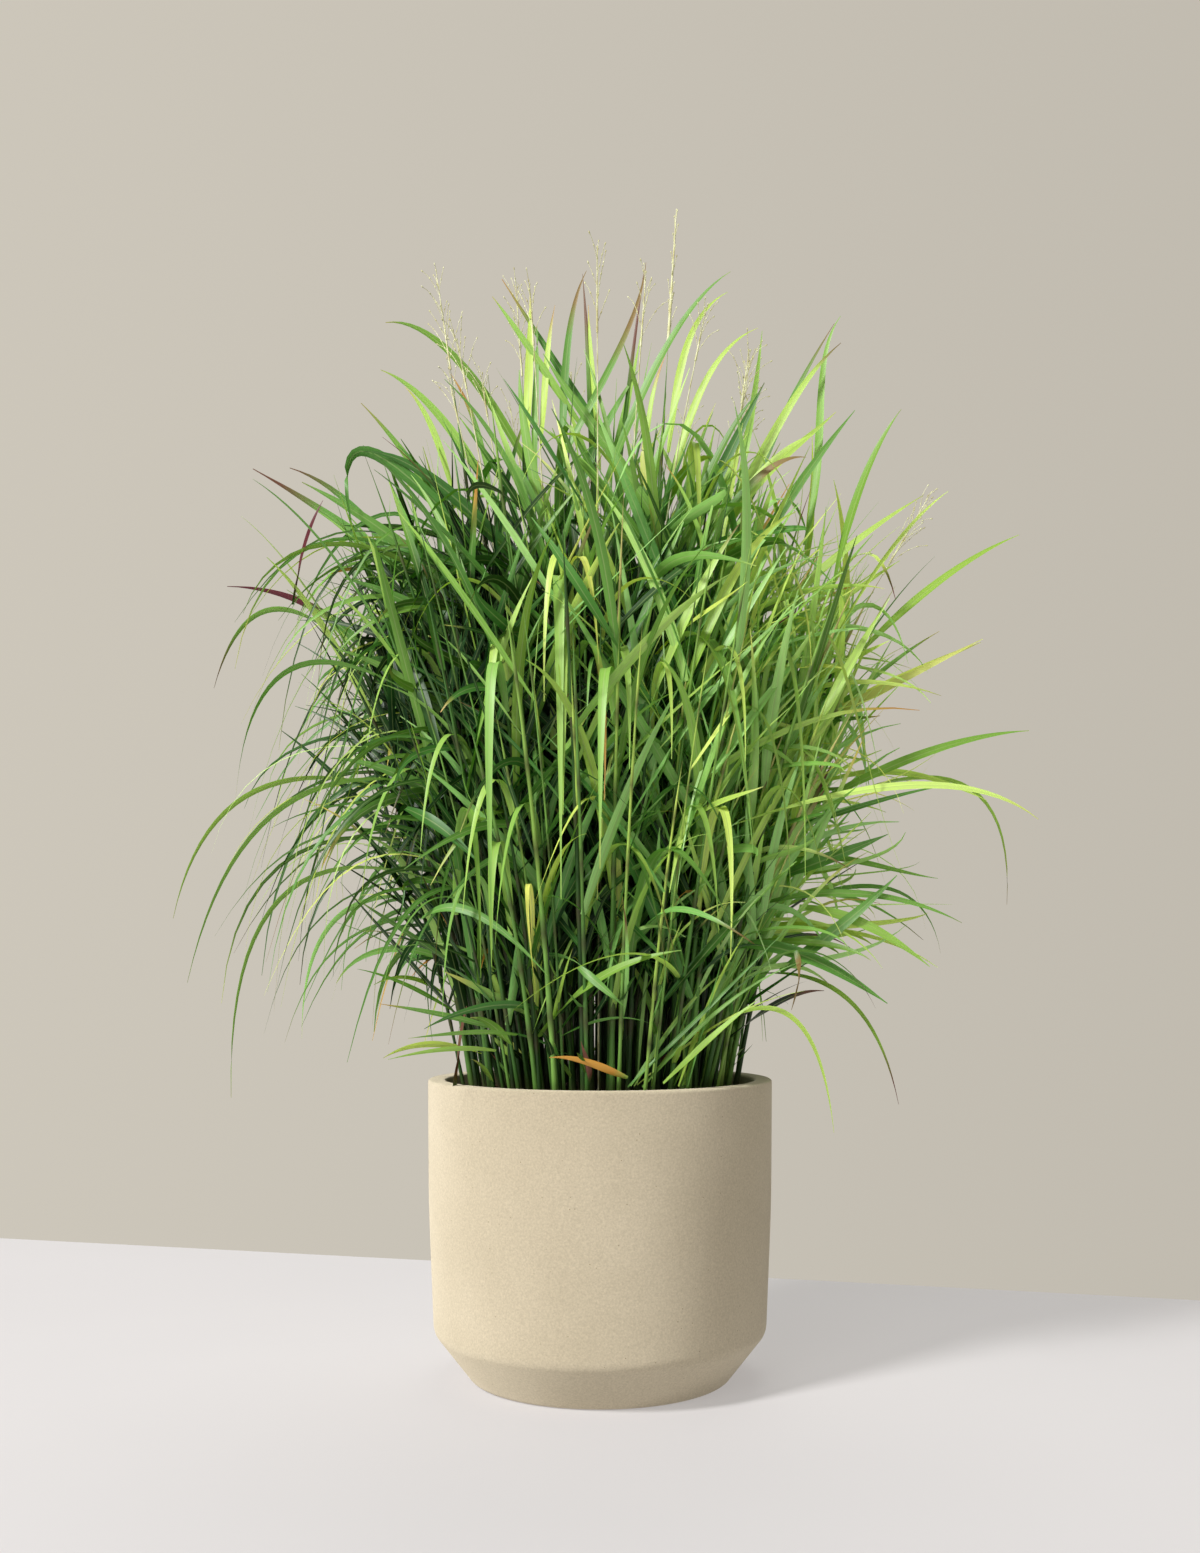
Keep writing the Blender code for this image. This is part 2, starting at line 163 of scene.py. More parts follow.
def mixed(tree, kind, amount, first, second):
    """The colour of a mix node; each of amount, first and second is a socket or a constant."""
    mix = tree.nodes.new("ShaderNodeMix")
    mix.data_type = "RGBA"
    mix.blend_type = kind
    for socket, value in ((mix.inputs[0], amount), (mix.inputs[6], first), (mix.inputs[7], second)):
        give(tree, socket, value)
    return mix.outputs[2]


def roughen(tree, shader, height, strength, distance):
    """Gives the shader's face the relief of a height pattern."""
    bump = made(tree, "ShaderNodeBump", Height=height, Strength=strength, Distance=distance)
    tree.links.new(bump.outputs["Normal"], shader.inputs["Normal"])


def cast_stone_material():
    material, tree, shader = new_material("sandy_cast_stone")
    place = object_place(tree)
    grain = noise(tree, place, 520.0, 4.0, 0.7)
    sand = ramped(tree, grain, (0.32, (0.530, 0.468, 0.350)), (0.68, (0.680, 0.607, 0.467)))
    cloud = ramped(tree, noise(tree, place, 9.0), (0.35, (0.93, 0.925, 0.91)), (0.65, WHITE))
    body = mixed(tree, "MULTIPLY", 1.0, sand, cloud)
    grit = made(tree, "ShaderNodeTexVoronoi", Vector=place, Scale=150.0)
    dots = ramped(tree, grit.outputs["Distance"], (0.055, WHITE), (0.10, BLACK))
    chosen = ramped(tree, grit.outputs["Color"], (0.66, BLACK), (0.72, WHITE))
    specks = mixed(tree, "MULTIPLY", 1.0, dots, chosen)
    colour = mixed(tree, "MIX", specks, body, (0.30, 0.24, 0.15))
    feed(tree, shader, Base_Color=colour, Roughness=0.82, Diffuse_Roughness=1.0, Specular_IOR_Level=0.2)
    roughen(tree, shader, noise(tree, place, 700.0, 5.0, 0.7), 0.35, 0.0004)
    return material


# The wall's outline, from the floor inside over the rim and down to the foot: radius, height and rounding.
inner_rim = RIM_RADIUS - WALL
planter_outline = rounded([
    (0.0, INNER_FLOOR_HEIGHT, 0.0),
    (INNER_FLOOR_RADIUS, INNER_FLOOR_HEIGHT, 0.004),
    (inner_rim - INNER_DRAFT, INNER_WALL_FOOT, 0.010),
    (inner_rim, RIM_HEIGHT, 0.0035),
    (RIM_RADIUS, RIM_HEIGHT, 0.0030),
    (RIM_RADIUS - MIDDLE_DRAFT, MIDDLE_HEIGHT, 0.030),
    (CHAMFER_RADIUS, CHAMFER_HEIGHT, 0.006),
    (FOOT_RADIUS, 0.0, 0.0035),
    (0.0, 0.0, 0.0),
])
planter = turned_piece("planter_pot", planter_outline, PLANTER_STEPS)
planter.data.materials.clear()
planter.data.materials.append(cast_stone_material())
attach(planter, "root")
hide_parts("planter")


# Potting soil.
# Dark crumbly potting mix of bark and peat fills the pot to a finger's width below the rim. The body is
# turned like the pot's inside, its top is uneven, and loose crumbs lie over it.
SOIL_HEIGHT = 0.283
SOIL_GAP = 0.0006
SOIL_RADIUS = inner_rim - SOIL_GAP
SOIL_STEPS = 72
SOIL_RINGS = 12
RING_WIDTH = 0.0124
SETTLED_HEIGHT = SOIL_HEIGHT - 0.0012
UNEVENNESS = (-0.0024, 0.0002)
CRUMB_SIZE = 0.0034
CRUMB_DENSITY = 26000.0
FULL_TURN = 6.28


def soil_material():
    material, tree, shader = new_material("potting_mix")
    place = object_place(tree)
    crumbs = ramped(
        tree,
        noise(tree, place, 240.0, 5.0, 0.7),
        (0.30, (0.012, 0.008, 0.005)),
        (0.50, (0.045, 0.026, 0.014)),
        (0.68, (0.120, 0.070, 0.036)),
        (0.80, (0.260, 0.170, 0.090)),
    )
    feed(tree, shader, Base_Color=crumbs, Roughness=0.95, Specular_IOR_Level=0.2)
    roughen(tree, shader, noise(tree, place, 320.0, 4.0, 0.6), 0.8, 0.0015)
    return material


def new_tree(name, sizes):
    """A Geometry Nodes tree with a mesh in and out, a float input for each size, and a material input."""
    tree = bpy.data.node_groups.new(name, "GeometryNodeTree")
    tree.interface.new_socket("Geometry", in_out="INPUT", socket_type="NodeSocketGeometry")
    tree.interface.new_socket("Geometry", in_out="OUTPUT", socket_type="NodeSocketGeometry")
    for size, value in sizes.items():
        socket = tree.interface.new_socket(size, in_out="INPUT", socket_type="NodeSocketFloat")
        socket.default_value = value
    tree.interface.new_socket("Material", in_out="INPUT", socket_type="NodeSocketMaterial")
    return tree, tree.nodes.new("NodeGroupInput"), tree.nodes.new("NodeGroupOutput")


def finish_tree(tree, given, out, geometry, sharp=None):
    """Ends a tree in Realize Instances and Set Material, all of it shaded smooth but for sharp edges."""
    real = made(tree, "GeometryNodeRealizeInstances", Geometry=geometry)
    shaded = made(tree, "GeometryNodeSetShadeSmooth", Geometry=real.outputs["Geometry"])
    if sharp is not None:
        shaded = made(tree, "GeometryNodeSetShadeSmooth", Geometry=shaded.outputs["Geometry"])
        shaded.domain = "EDGE"
        feed(tree, shaded, Selection=sharp, Shade_Smooth=False)
    material = given.outputs["Material"]
    paint = made(tree, "GeometryNodeSetMaterial", Geometry=shaded.outputs["Geometry"], Material=material)
    feed(tree, out, Geometry=paint.outputs["Geometry"])


def grow(obj, tree, material):
    """Runs the tree on the object and leaves a plain mesh with that material."""
    modifier = obj.modifiers.new("Grow", "NODES")
    modifier.node_group = tree
    for item in tree.interface.items_tree:
        if item.name == "Material":
            modifier[item.identifier] = material
    return as_plain_mesh(obj)


def maths(tree, operation, *values):
    """The outcome of a sum; each value is a socket or a constant."""
    node = tree.nodes.new("ShaderNodeMath")
    node.operation = operation
    for socket, value in zip(node.inputs, values):
        give(tree, socket, value)
    return node.outputs[0]


def random_vector(tree, low, high, seed):
    node = tree.nodes.new("FunctionNodeRandomValue")
    node.data_type = "FLOAT_VECTOR"
    give(tree, node.inputs[0], low)
    give(tree, node.inputs[1], high)
    feed(tree, node, Seed=seed)
    return node.outputs[0]


def set_on_points(tree, points, rotation, stretch, size):
    """Round lumps on the points, each turned and stretched to a share of the size."""
    lump = made(tree, "GeometryNodeMeshIcoSphere", Radius=0.5, Subdivisions=1)
    scale = tree.nodes.new("ShaderNodeVectorMath")
    scale.operation = "SCALE"
    give(tree, scale.inputs[0], stretch)
    feed(tree, scale, Scale=size)
    place = made(tree, "GeometryNodeInstanceOnPoints", Points=points, Instance=lump.outputs["Mesh"])
    return feed(tree, place, Rotation=rotation, Scale=scale.outputs[0])


def joined(tree, first, second):
    both = made(tree, "GeometryNodeJoinGeometry", Geometry=first)
    return feed(tree, both, Geometry=second).outputs["Geometry"]


def crumb_tree():
    """Scatters lumps of soil over the upward faces of the soil body and keeps the body."""
    tree, given, out = new_tree("soil_crumbs", {"Crumb Size": CRUMB_SIZE, "Density": CRUMB_DENSITY})
    body = given.outputs["Geometry"]
    normal = tree.nodes.new("GeometryNodeInputNormal")
    split = made(tree, "ShaderNodeSeparateXYZ", Vector=normal.outputs["Normal"])
    above = maths(tree, "GREATER_THAN", split.outputs["Z"], 0.5)
    scatter = made(tree, "GeometryNodeDistributePointsOnFaces", Mesh=body, Selection=above, Seed=4)
    feed(tree, scatter, Density=given.outputs["Density"])
    turn = random_vector(tree, (0.0, 0.0, 0.0), (FULL_TURN, FULL_TURN, FULL_TURN), 7)
    stretch = random_vector(tree, (0.4, 0.4, 0.3), (1.5, 1.0, 0.8), 9)
    lumps = set_on_points(tree, scatter.outputs["Points"], turn, stretch, given.outputs["Crumb Size"])
    finish_tree(tree, given, out, joined(tree, body, lumps.outputs["Instances"]))
    return tree


soil_outline = [(0.0, SETTLED_HEIGHT)]
soil_outline += [(0.004 + RING_WIDTH * i, SETTLED_HEIGHT) for i in range(SOIL_RINGS)]
soil_outline += [
    (SOIL_RADIUS - 0.006, SOIL_HEIGHT - 0.002),
    (SOIL_RADIUS - 0.0008, SOIL_HEIGHT - 0.0045),
    (SOIL_RADIUS - 0.0040, INNER_WALL_FOOT),
    (INNER_FLOOR_RADIUS - SOIL_GAP, INNER_FLOOR_HEIGHT + SOIL_GAP),
    (0.0, INNER_FLOOR_HEIGHT + SOIL_GAP),
]
soil = turned_piece("soil_mix", soil_outline, SOIL_STEPS)
soil_random = np.random.default_rng(12)
for vertex in soil.data.vertices:
    if vertex.co.z > SOIL_HEIGHT - 0.004:
        vertex.co.z += soil_random.uniform(*UNEVENNESS)
soil = grow(soil, crumb_tree(), soil_material())
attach(soil, "root")
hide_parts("soil")


# Stems.
# The clump's upright stems come up from one crowded crown of roots. Each is a thin jointed tube of grass,
# pale green with a darker joint every so often, and it leans further outwards the nearer the wall it is.
STEM_RADIUS = 0.0026
STEM_TAPER = 0.55
STEM_FOOT_HEIGHT = 0.2839
STEM_BEND = 1.5
STEM_RINGS = 25
STEM_SIDES = 8
STEM_REACH = 0.295
JOINTS = 6
JOINT_SHARE = 0.09
JOINT_DARKNESS = 0.75
SHEATH_SWELLING = 0.35
SHEATH_ENDING = 1.6
TIP_SHARE = 0.12
THINNEST = 0.12
# How the stems' painted shade and painted light run: darker towards the clump's middle, lighter to the right.
OUTER_EDGE = 0.92
SUNNY_RIGHT = 3.6
SUNNY_RANGE = (0.45, 1.5)
FILLER_STEMS = 270
FILLER_LENGTH = 0.65
CROWN_RADIUS = 0.150
STRAYING_SHARE = 0.22
STRAIGHTENING = 2.0
GOLDEN_ANGLE = 137.508
UV_CELL_FILLING = 0.92
# How far from the planter's axis the thicket of stems and leaves reaches at each height.
THICKET_HEIGHTS = [0.29, 0.35, 0.45, 0.55, 0.75, 0.90, 1.00, 1.08, 1.15, 1.20]
THICKET_REACHES = [0.17, 0.20, 0.25, 0.28, 0.30, 0.27, 0.18, 0.09, 0.03, 0.01]
FLATTER_IN_FRONT = 1.5


def outwards(azimuth):
    turn = math.radians(azimuth)
    return np.array([math.cos(turn), math.sin(turn), 0.0])


def upwards(height):
    return np.array([0.0, 0.0, height])


def unit(vector):
    return vector / max(np.linalg.norm(vector), 1e-9)


def stem_path(foot_radius, azimuth, length, lean, top_lean):
    """Points up a stem whose lean away from the planter's axis grows steadily from its foot to its top."""
    outward = outwards(azimuth)
    point = outward * foot_radius + upwards(STEM_FOOT_HEIGHT)
    points = [point]
    step = length / (STEM_RINGS - 1)
    for i in range(STEM_RINGS - 1):
        share = (i + 0.5) / (STEM_RINGS - 1)
        angle = math.radians(lean + (top_lean - lean) * share ** STEM_BEND)
        point = point + (outward * math.sin(angle) + upwards(math.cos(angle))) * step
        points.append(point)
    return np.array(points)


def point_along(points, share):
    place = min(max(share, 0.0), 1.0) * (len(points) - 1)
    i = min(int(place), len(points) - 2)
    return points[i] + (points[i + 1] - points[i]) * (place - i)


def direction_at(points, share, span=0.05):
    return unit(point_along(points, share + span) - point_along(points, share - span))


def guide_object(name, strands):
    """Polylines as a mesh of edges. A strand holds its points, and a float or a list for each attribute."""
    points = np.concatenate([strand["points"] for strand in strands])
    counts = [len(strand["points"]) for strand in strands]
    starts = np.cumsum([0] + counts[:-1])
    edges = [(int(start) + i, int(start) + i + 1) for start, n in zip(starts, counts) for i in range(n - 1)]
    mesh = bpy.data.meshes.new(name)
    mesh.from_pydata([tuple(map(float, point)) for point in points], edges, [])
    cells = math.ceil(math.sqrt(len(strands)))
    for i, (strand, count) in enumerate(zip(strands, counts)):
        strand["along"] = np.linspace(0.0, 1.0, count)
        strand["cell_u"] = (i % cells) / cells
        strand["cell_v"] = (i // cells) / cells
        strand["cell_size"] = UV_CELL_FILLING / cells
    for key in strands[0]:
        if key == "points":
            continue
        values = [np.broadcast_to(strand[key], count) for strand, count in zip(strands, counts)]
        attribute = mesh.attributes.new(key, "FLOAT", "POINT")
        attribute.data.foreach_set("value", np.concatenate(values).astype(np.float32))
    return new_object(name, mesh)


def named(tree, name):
    node = tree.nodes.new("GeometryNodeInputNamedAttribute")
    node.data_type = "FLOAT"
    return feed(tree, node, Name=name).outputs["Attribute"]


def store(tree, geometry, name, value, data_type, domain):
    node = tree.nodes.new("GeometryNodeStoreNamedAttribute")
    node.data_type = data_type
    node.domain = domain
    return feed(tree, node, Geometry=geometry, Name=name, Value=value).outputs["Geometry"]


def swept(tree, geometry, profile, scale_name):
    """Sweeps the profile along the guides, scaled by an attribute, and lays out the piece's UV map."""
    lines = made(tree, "GeometryNodeMeshToCurve", Mesh=geometry)
    upright = made(tree, "GeometryNodeSetCurveNormal", Curve=lines.outputs["Curve"])
    upright.mode = "Z_UP"
    tilt = named(tree, "twist")
    turned = made(tree, "GeometryNodeSetCurveTilt", Curve=upright.outputs["Curve"], Tilt=tilt)
    sweep = made(tree, "GeometryNodeCurveToMesh", Curve=turned.outputs["Curve"], Profile_Curve=profile)
    feed(tree, sweep, Scale=named(tree, scale_name), Fill_Caps=True)
    across = maths(tree, "ADD", maths(tree, "MULTIPLY", named(tree, "across"), 0.5), 0.5)
    cell_size = named(tree, "cell_size")
    u = maths(tree, "ADD", maths(tree, "MULTIPLY", across, cell_size), named(tree, "cell_u"))
    v = maths(tree, "ADD", maths(tree, "MULTIPLY", named(tree, "along"), cell_size), named(tree, "cell_v"))
    place = made(tree, "ShaderNodeCombineXYZ", X=u, Y=v)
    return store(tree, sweep.outputs["Mesh"], "OFBake", place.outputs["Vector"], "FLOAT2", "CORNER")


def with_across(tree, profile):
    """The profile curve with its sideways place stored from -1 to 1."""
    position = tree.nodes.new("GeometryNodeInputPosition")
    split = made(tree, "ShaderNodeSeparateXYZ", Vector=position.outputs["Position"])
    sideways = maths(tree, "MULTIPLY", split.outputs["X"], 2.0)
    return store(tree, profile, "across", sideways, "FLOAT", "POINT")


def round_profile(tree, sides, radius):
    circle = made(tree, "GeometryNodeCurvePrimitiveCircle", Resolution=sides, Radius=radius)
    return with_across(tree, circle.outputs["Curve"])


def stem_tree():
    """Round stems swept along their guides."""
    tree, given, out = new_tree("grass_stems", {"Roundness": 1.0})
    profile = round_profile(tree, STEM_SIDES, given.outputs["Roundness"])
    finish_tree(tree, given, out, swept(tree, given.outputs["Geometry"], profile, "radius"))
    return tree


def read_attribute(tree, name):
    node = tree.nodes.new("ShaderNodeAttribute")
    node.attribute_type = "GEOMETRY"
    node.attribute_name = name
    return node.outputs["Fac"]


def stem_material():
    material, tree, shader = new_material("grass_stem")
    # The tone runs from dark to light green; it carries the stems' painted shade and painted light.
    shades = ramped(
        tree,
        read_attribute(tree, "tone"),
        (0.0, (0.008, 0.026, 0.005)),
        (0.25, (0.050, 0.150, 0.024)),
        (0.5, (0.195, 0.400, 0.075)),
        (0.85, (0.480, 0.660, 0.120)),
        (1.0, (0.600, 0.560, 0.200)),
    )
    jointed = mixed(tree, "MIX", read_attribute(tree, "joint"), shades, (0.060, 0.045, 0.020))
    streaks = noise(tree, object_place(tree), 35.0)
    cloud = ramped(tree, streaks, (0.3, (0.75, 0.78, 0.75)), (0.7, (1.08, 1.05, 1.0)))
    colour = mixed(tree, "MULTIPLY", 1.0, jointed, cloud)
    feed(tree, shader, Base_Color=colour, Roughness=0.5, Specular_IOR_Level=0.35)
    return material


def stem_strand(path, random, radius=STEM_RADIUS, darkest=0.55, shaded=0.30):
    """The guide of one stem, with a dark joint under each sheath. Painted shade darkens it towards the middle
    of the clump, and painted light lightens it to the right.
    """
    share = np.linspace(0.0, 1.0, len(path))
    depth = np.where(path[:, 1] < 0.0, path[:, 1] * (1.0 + (FLATTER_IN_FRONT - 1.0) * share), path[:, 1])
    reach = np.interp(path[:, 2], THICKET_HEIGHTS, THICKET_REACHES)
    # Painted shade: darker towards the middle of the clump. Painted light: lighter to the right.
    outer = np.clip(np.hypot(path[:, 0], depth) / reach / OUTER_EDGE, 0.0, 1.0)
    sunny = np.clip(1.0 + SUNNY_RIGHT * path[:, 0], *SUNNY_RANGE)
    place = (share * JOINTS) % 1.0
    at_joint = np.minimum(place, 1.0 - place) < JOINT_SHARE
    sheath = 1.0 + SHEATH_SWELLING * np.clip(1.0 - place * SHEATH_ENDING, 0.0, 1.0)
    sheath *= np.clip((1.0 - share) / TIP_SHARE, THINNEST, 1.0)
    return {
        "points": path,
        "radius": radius * (1.0 - STEM_TAPER * share) * sheath,
        "twist": 0.0,
        "joint": np.where(at_joint, JOINT_DARKNESS, 0.0),
        "tone": np.maximum(shaded, random.uniform(darkest, 1.0) ** 1.7 * outer ** 3.5 * sunny),
    }


# Each stem that stands out: its foot's distance from the planter's axis, its compass angle, its length, its
# lean at the foot and at the top, and how far to either side its leaves turn.
LEAFY_STEMS = {
    "leafy_stem_01": (0.030, 95, 0.66, 1, 6, 60),
    "leafy_stem_02": (0.035, 215, 0.64, 2, 9, 75),
    "leafy_stem_03": (0.085, 65, 0.62, 5, 14, 60),
    "leafy_stem_04": (0.080, 120, 0.60, 5, 14, 60),
    "leafy_stem_05": (0.080, 250, 0.60, 4, 10, 60),
    "leafy_stem_06": (0.075, 300, 0.62, 3, 9, 60),
    "leafy_stem_07": (0.128, 32, 0.55, 8, 26, 60),
    "leafy_stem_08": (0.130, 62, 0.54, 8, 26, 60),
    "leafy_stem_09": (0.128, 95, 0.55, 8, 24, 60),
    "leafy_stem_10": (0.130, 128, 0.54, 8, 26, 60),
    "leafy_stem_11": (0.130, 158, 0.56, 9, 28, 60),
    "leafy_stem_12": (0.132, 186, 0.55, 10, 30, 60),
    "leafy_stem_13": (0.130, 214, 0.52, 9, 26, 60),
    "leafy_stem_14": (0.128, 243, 0.50, 7, 20, 60),
    "leafy_stem_15": (0.128, 275, 0.50, 6, 18, 45),
    "leafy_stem_16": (0.130, 308, 0.52, 7, 22, 70),
    "leafy_stem_17": (0.130, 337, 0.54, 9, 28, -70),
}
FLOWER_STEMS = {
    "flower_stem_01": (0.040, 340, 0.80, 2, 4, 90),
    "flower_stem_02": (0.078, 172, 0.80, 5, 9, -70),
    "flower_stem_03": (0.050, 150, 0.80, 3, 5, -90),
    "flower_stem_04": (0.080, 22, 0.71, 5, 10, -70),
    "flower_stem_05": (0.130, 3, 0.59, 9, 32, 60),
}
stem_paths = {name: stem_path(*row[:5]) for name, row in {**LEAFY_STEMS, **FLOWER_STEMS}.items()}

# The thinner stems between them stand in a spiral from the clump's middle to the planter's wall.
grower = np.random.default_rng(31)
filler_stems = []
for i in range(FILLER_STEMS):
    nearness = math.sqrt((i + 0.5) / FILLER_STEMS)
    azimuth = GOLDEN_ANGLE * i + grower.uniform(-25, 25)
    straying = 15.0 if grower.random() < STRAYING_SHARE else 5.0
    lean = 1.0 + 12.0 * nearness + grower.uniform(-straying, straying)
    top_lean = lean + 12.0 * nearness ** 2 + grower.uniform(-6, 9)
    length = FILLER_LENGTH - 0.19 * nearness ** 2 + grower.uniform(-0.18, 0.09)
    foot_radius = CROWN_RADIUS * nearness * grower.uniform(0.88, 1.0)
    path = stem_path(foot_radius, azimuth, length, lean, top_lean)
    while np.hypot(*path[-1][:2]) > STEM_REACH:
        lean -= STRAIGHTENING
        top_lean -= STRAIGHTENING
        path = stem_path(foot_radius, azimuth, length, lean, top_lean)
    filler_stems.append({"path": path, "azimuth": azimuth, "nearness": nearness})

stem_strands = [stem_strand(path, grower) for path in stem_paths.values()]
for stem in filler_stems:
    radius = STEM_RADIUS * grower.uniform(0.40, 1.0)
    stem_strands.append(stem_strand(stem["path"], grower, radius, 0.25, 0.0))
stems = grow(guide_object("grass_stems", stem_strands), stem_tree(), stem_material())
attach(stems, "root")
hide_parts(*stem_paths)


# Leaves on the stems.
# Each stem carries narrow blades that leave it by turns to either side, rise along it, then arch over.
# A blade is a folded strip with a pale midrib below, widest at a third of its length and drawn to a point.
LEAF_FOLD = 0.10
LEAF_THICKNESS = 0.05
SHEATH_WIDTH = 0.55
WIDEST_PLACE = 0.3
TIP_WIDTH = 0.06
NARROWING = 1.8
LEAF_RINGS = 15
SIDE_LEAF_WIDTH = 0.010
SIDE_LEAF_TWIST = 28
TWIST_END = 0.45
DROOP_CURVE = 1.6
GLOW_SHARE = 0.28
# The box that leaves placed by chance stay inside, so that none reaches further than the solids do.
LEAF_BOX = ((-0.440, 0.455), (-0.322, 0.395), (0.30, 1.20))
# How far up its stem each leaf stands, its length and how far up it ends, as a share of its length.
SIDE_LEAVES = [(0.16, 0.28, 0.60), (0.38, 0.32, 0.66), (0.60, 0.30, 0.74), (0.82, 0.25, 0.86)]
FLOWER_STEM_LEAVES = [(0.26, 0.34, 0.74), (0.52, 0.32, 0.80)]


def leaf_tree():
    """Folded blades swept along their guides, sharp along both edges."""
    tree, given, out = new_tree("grass_leaves", {"Fold": LEAF_FOLD, "Thickness": LEAF_THICKNESS})
    section = tree.nodes.new("GeometryNodeCurvePrimitiveQuadrilateral")
    section.mode = "POINTS"
    crease = made(tree, "ShaderNodeCombineXYZ", Y=given.outputs["Fold"])
    keel_height = maths(tree, "ADD", given.outputs["Fold"], given.outputs["Thickness"])
    keel = made(tree, "ShaderNodeCombineXYZ", Y=keel_height)
    feed(tree, section, Point_1=(-0.5, 0.0, 0.0), Point_3=(0.5, 0.0, 0.0))
    feed(tree, section, Point_2=crease.outputs["Vector"], Point_4=keel.outputs["Vector"])
    profile = with_across(tree, section.outputs["Curve"])
    blades = swept(tree, given.outputs["Geometry"], profile, "width")
    split = made(tree, "GeometryNodeTriangulate", Mesh=blades)
    split.quad_method = "SHORTEST_DIAGONAL"
    margin = maths(tree, "ABSOLUTE", named(tree, "across"))
    finish_tree(tree, given, out, split.outputs["Mesh"], maths(tree, "GREATER_THAN", margin, 0.99))
    return tree


def leaf_material():
    """Green with a pale midrib and fine veins, and yellow, brown or red towards the tip where it is dry."""
    material, tree, shader = new_material("grass_leaf")
    tone = read_attribute(tree, "tone")
    along = read_attribute(tree, "along")
    across = read_attribute(tree, "across")
    # The tone runs from dark to light green; for many blades it carries painted shade and painted light.
    greens = ramped(
        tree,
        tone,
        (0.00, (0.005, 0.018, 0.004)),
        (0.12, (0.019, 0.070, 0.010)),
        (0.32, (0.115, 0.300, 0.036)),
        (0.60, (0.330, 0.555, 0.096)),
        (0.82, (0.585, 0.745, 0.185)),
        (1.00, (0.820, 0.870, 0.290)),
    )
    tints = ramped(
        tree,
        read_attribute(tree, "tint"),
        (0.0, (0.74, 0.95, 1.45)),
        (0.5, (0.98, 1.0, 1.0)),
        (1.0, (1.18, 1.03, 0.75)),
    )
    lines = made(
        tree,
        "ShaderNodeCombineXYZ",
        X=maths(tree, "MULTIPLY", across, 9.0),
        Y=maths(tree, "MULTIPLY", along, 2.0),
        Z=maths(tree, "MULTIPLY", tone, 40.0),
    )
    streaks = noise(tree, lines.outputs["Vector"], 1.6, 2.0)
    veins = ramped(tree, streaks, (0.3, (0.80, 0.82, 0.78)), (0.7, (1.12, 1.10, 1.08)))
    veined = mixed(tree, "MULTIPLY", 1.0, mixed(tree, "MULTIPLY", 1.0, greens, tints), veins)
    rib = ramped(tree, maths(tree, "ABSOLUTE", across), (0.0, (0.55, 0.55, 0.55)), (0.16, BLACK))
    ribbed = mixed(tree, "MIX", rib, veined, (0.42, 0.52, 0.22))
    wander = maths(tree, "MULTIPLY_ADD", noise(tree, object_place(tree), 22.0, 2.0), 0.14, -0.07)
    reach = maths(tree, "ADD", maths(tree, "ADD", along, wander), read_attribute(tree, "dry"))
    beyond = maths(tree, "MULTIPLY", maths(tree, "SUBTRACT", reach, 1.0), 5.0)
    drying = ramped(tree, beyond, (0.0, BLACK), (1.0, WHITE))
    dry_colours = ramped(
        tree,
        read_attribute(tree, "rust"),
        (0.0, (0.58, 0.62, 0.18)),
        (0.27, (0.62, 0.34, 0.06)),
        (0.45, (0.34, 0.25, 0.09)),
        (0.65, (0.20, 0.11, 0.045)),
        (1.0, (0.13, 0.020, 0.030)),
    )
    colour = mixed(tree, "MIX", drying, ribbed, dry_colours)
    feed(tree, shader, Base_Color=colour, Roughness=0.42, Specular_IOR_Level=0.4)
    warmer = mixed(tree, "MULTIPLY", 1.0, colour, (1.75, 1.75, 0.75))
    glow = made(tree, "ShaderNodeBsdfTranslucent", Color=warmer)
    both = made(tree, "ShaderNodeMixShader", Fac=GLOW_SHARE)
    tree.links.new(shader.outputs["BSDF"], both.inputs[1])
    tree.links.new(glow.outputs["BSDF"], both.inputs[2])
    tree.links.new(both.outputs["Shader"], tree.nodes["Material Output"].inputs["Surface"])
    return material


def leaf_widths(count, width):
    share = np.linspace(0.0, 1.0, count)
    opened = np.clip(share / WIDEST_PLACE, 0.0, 1.0)
    rising = SHEATH_WIDTH + (1.0 - SHEATH_WIDTH) * np.sin(opened * math.pi / 2)
    falling = 1.0 - (np.clip(share - WIDEST_PLACE, 0.0, 1.0) / (1.0 - WIDEST_PLACE)) ** NARROWING
    return width * np.maximum(np.where(share < WIDEST_PLACE, rising, falling), TIP_WIDTH)


def leaf_strand(
    points, width, twist, tone, dry=0.0, rust=0.0, twist_end=TWIST_END, twist_start=0.0, tint=None
):
    """The guide of one blade: tone 0 dark to 1 light, dry the share of it that has dried, rust yellow to
    red, and tint 0 blue to 1 yellow, by chance where none is given."""
    share = np.linspace(0.0, 1.0, len(points))
    turned = twist_start + (1.0 - twist_start) * np.minimum(share / twist_end, 1.0)
    return {
        "points": points,
        "width": leaf_widths(len(points), width),
        "twist": math.radians(twist) * turned,
        "tone": tone,
        "tint": grower.uniform(0.0, 0.85) if tint is None else tint,
        "dry": dry,
        "rust": rust,
    }


def arc(start, pull, tip, count=LEAF_RINGS):
    t = np.linspace(0.0, 1.0, count)[:, None]
    return start * (1 - t) ** 2 + pull * (2 * t * (1 - t)) + tip * t ** 2


def side_leaf(path, share, azimuth, length, rise):
    outward = outwards(azimuth)
    start = point_along(path, share)
    upward = direction_at(path, share, 0.1)
    pull = start + (upward * 0.6 + outward * 0.1) * length
    tip = start + (upward * rise + outward * 0.4) * length
    return arc(start, pull, tip)


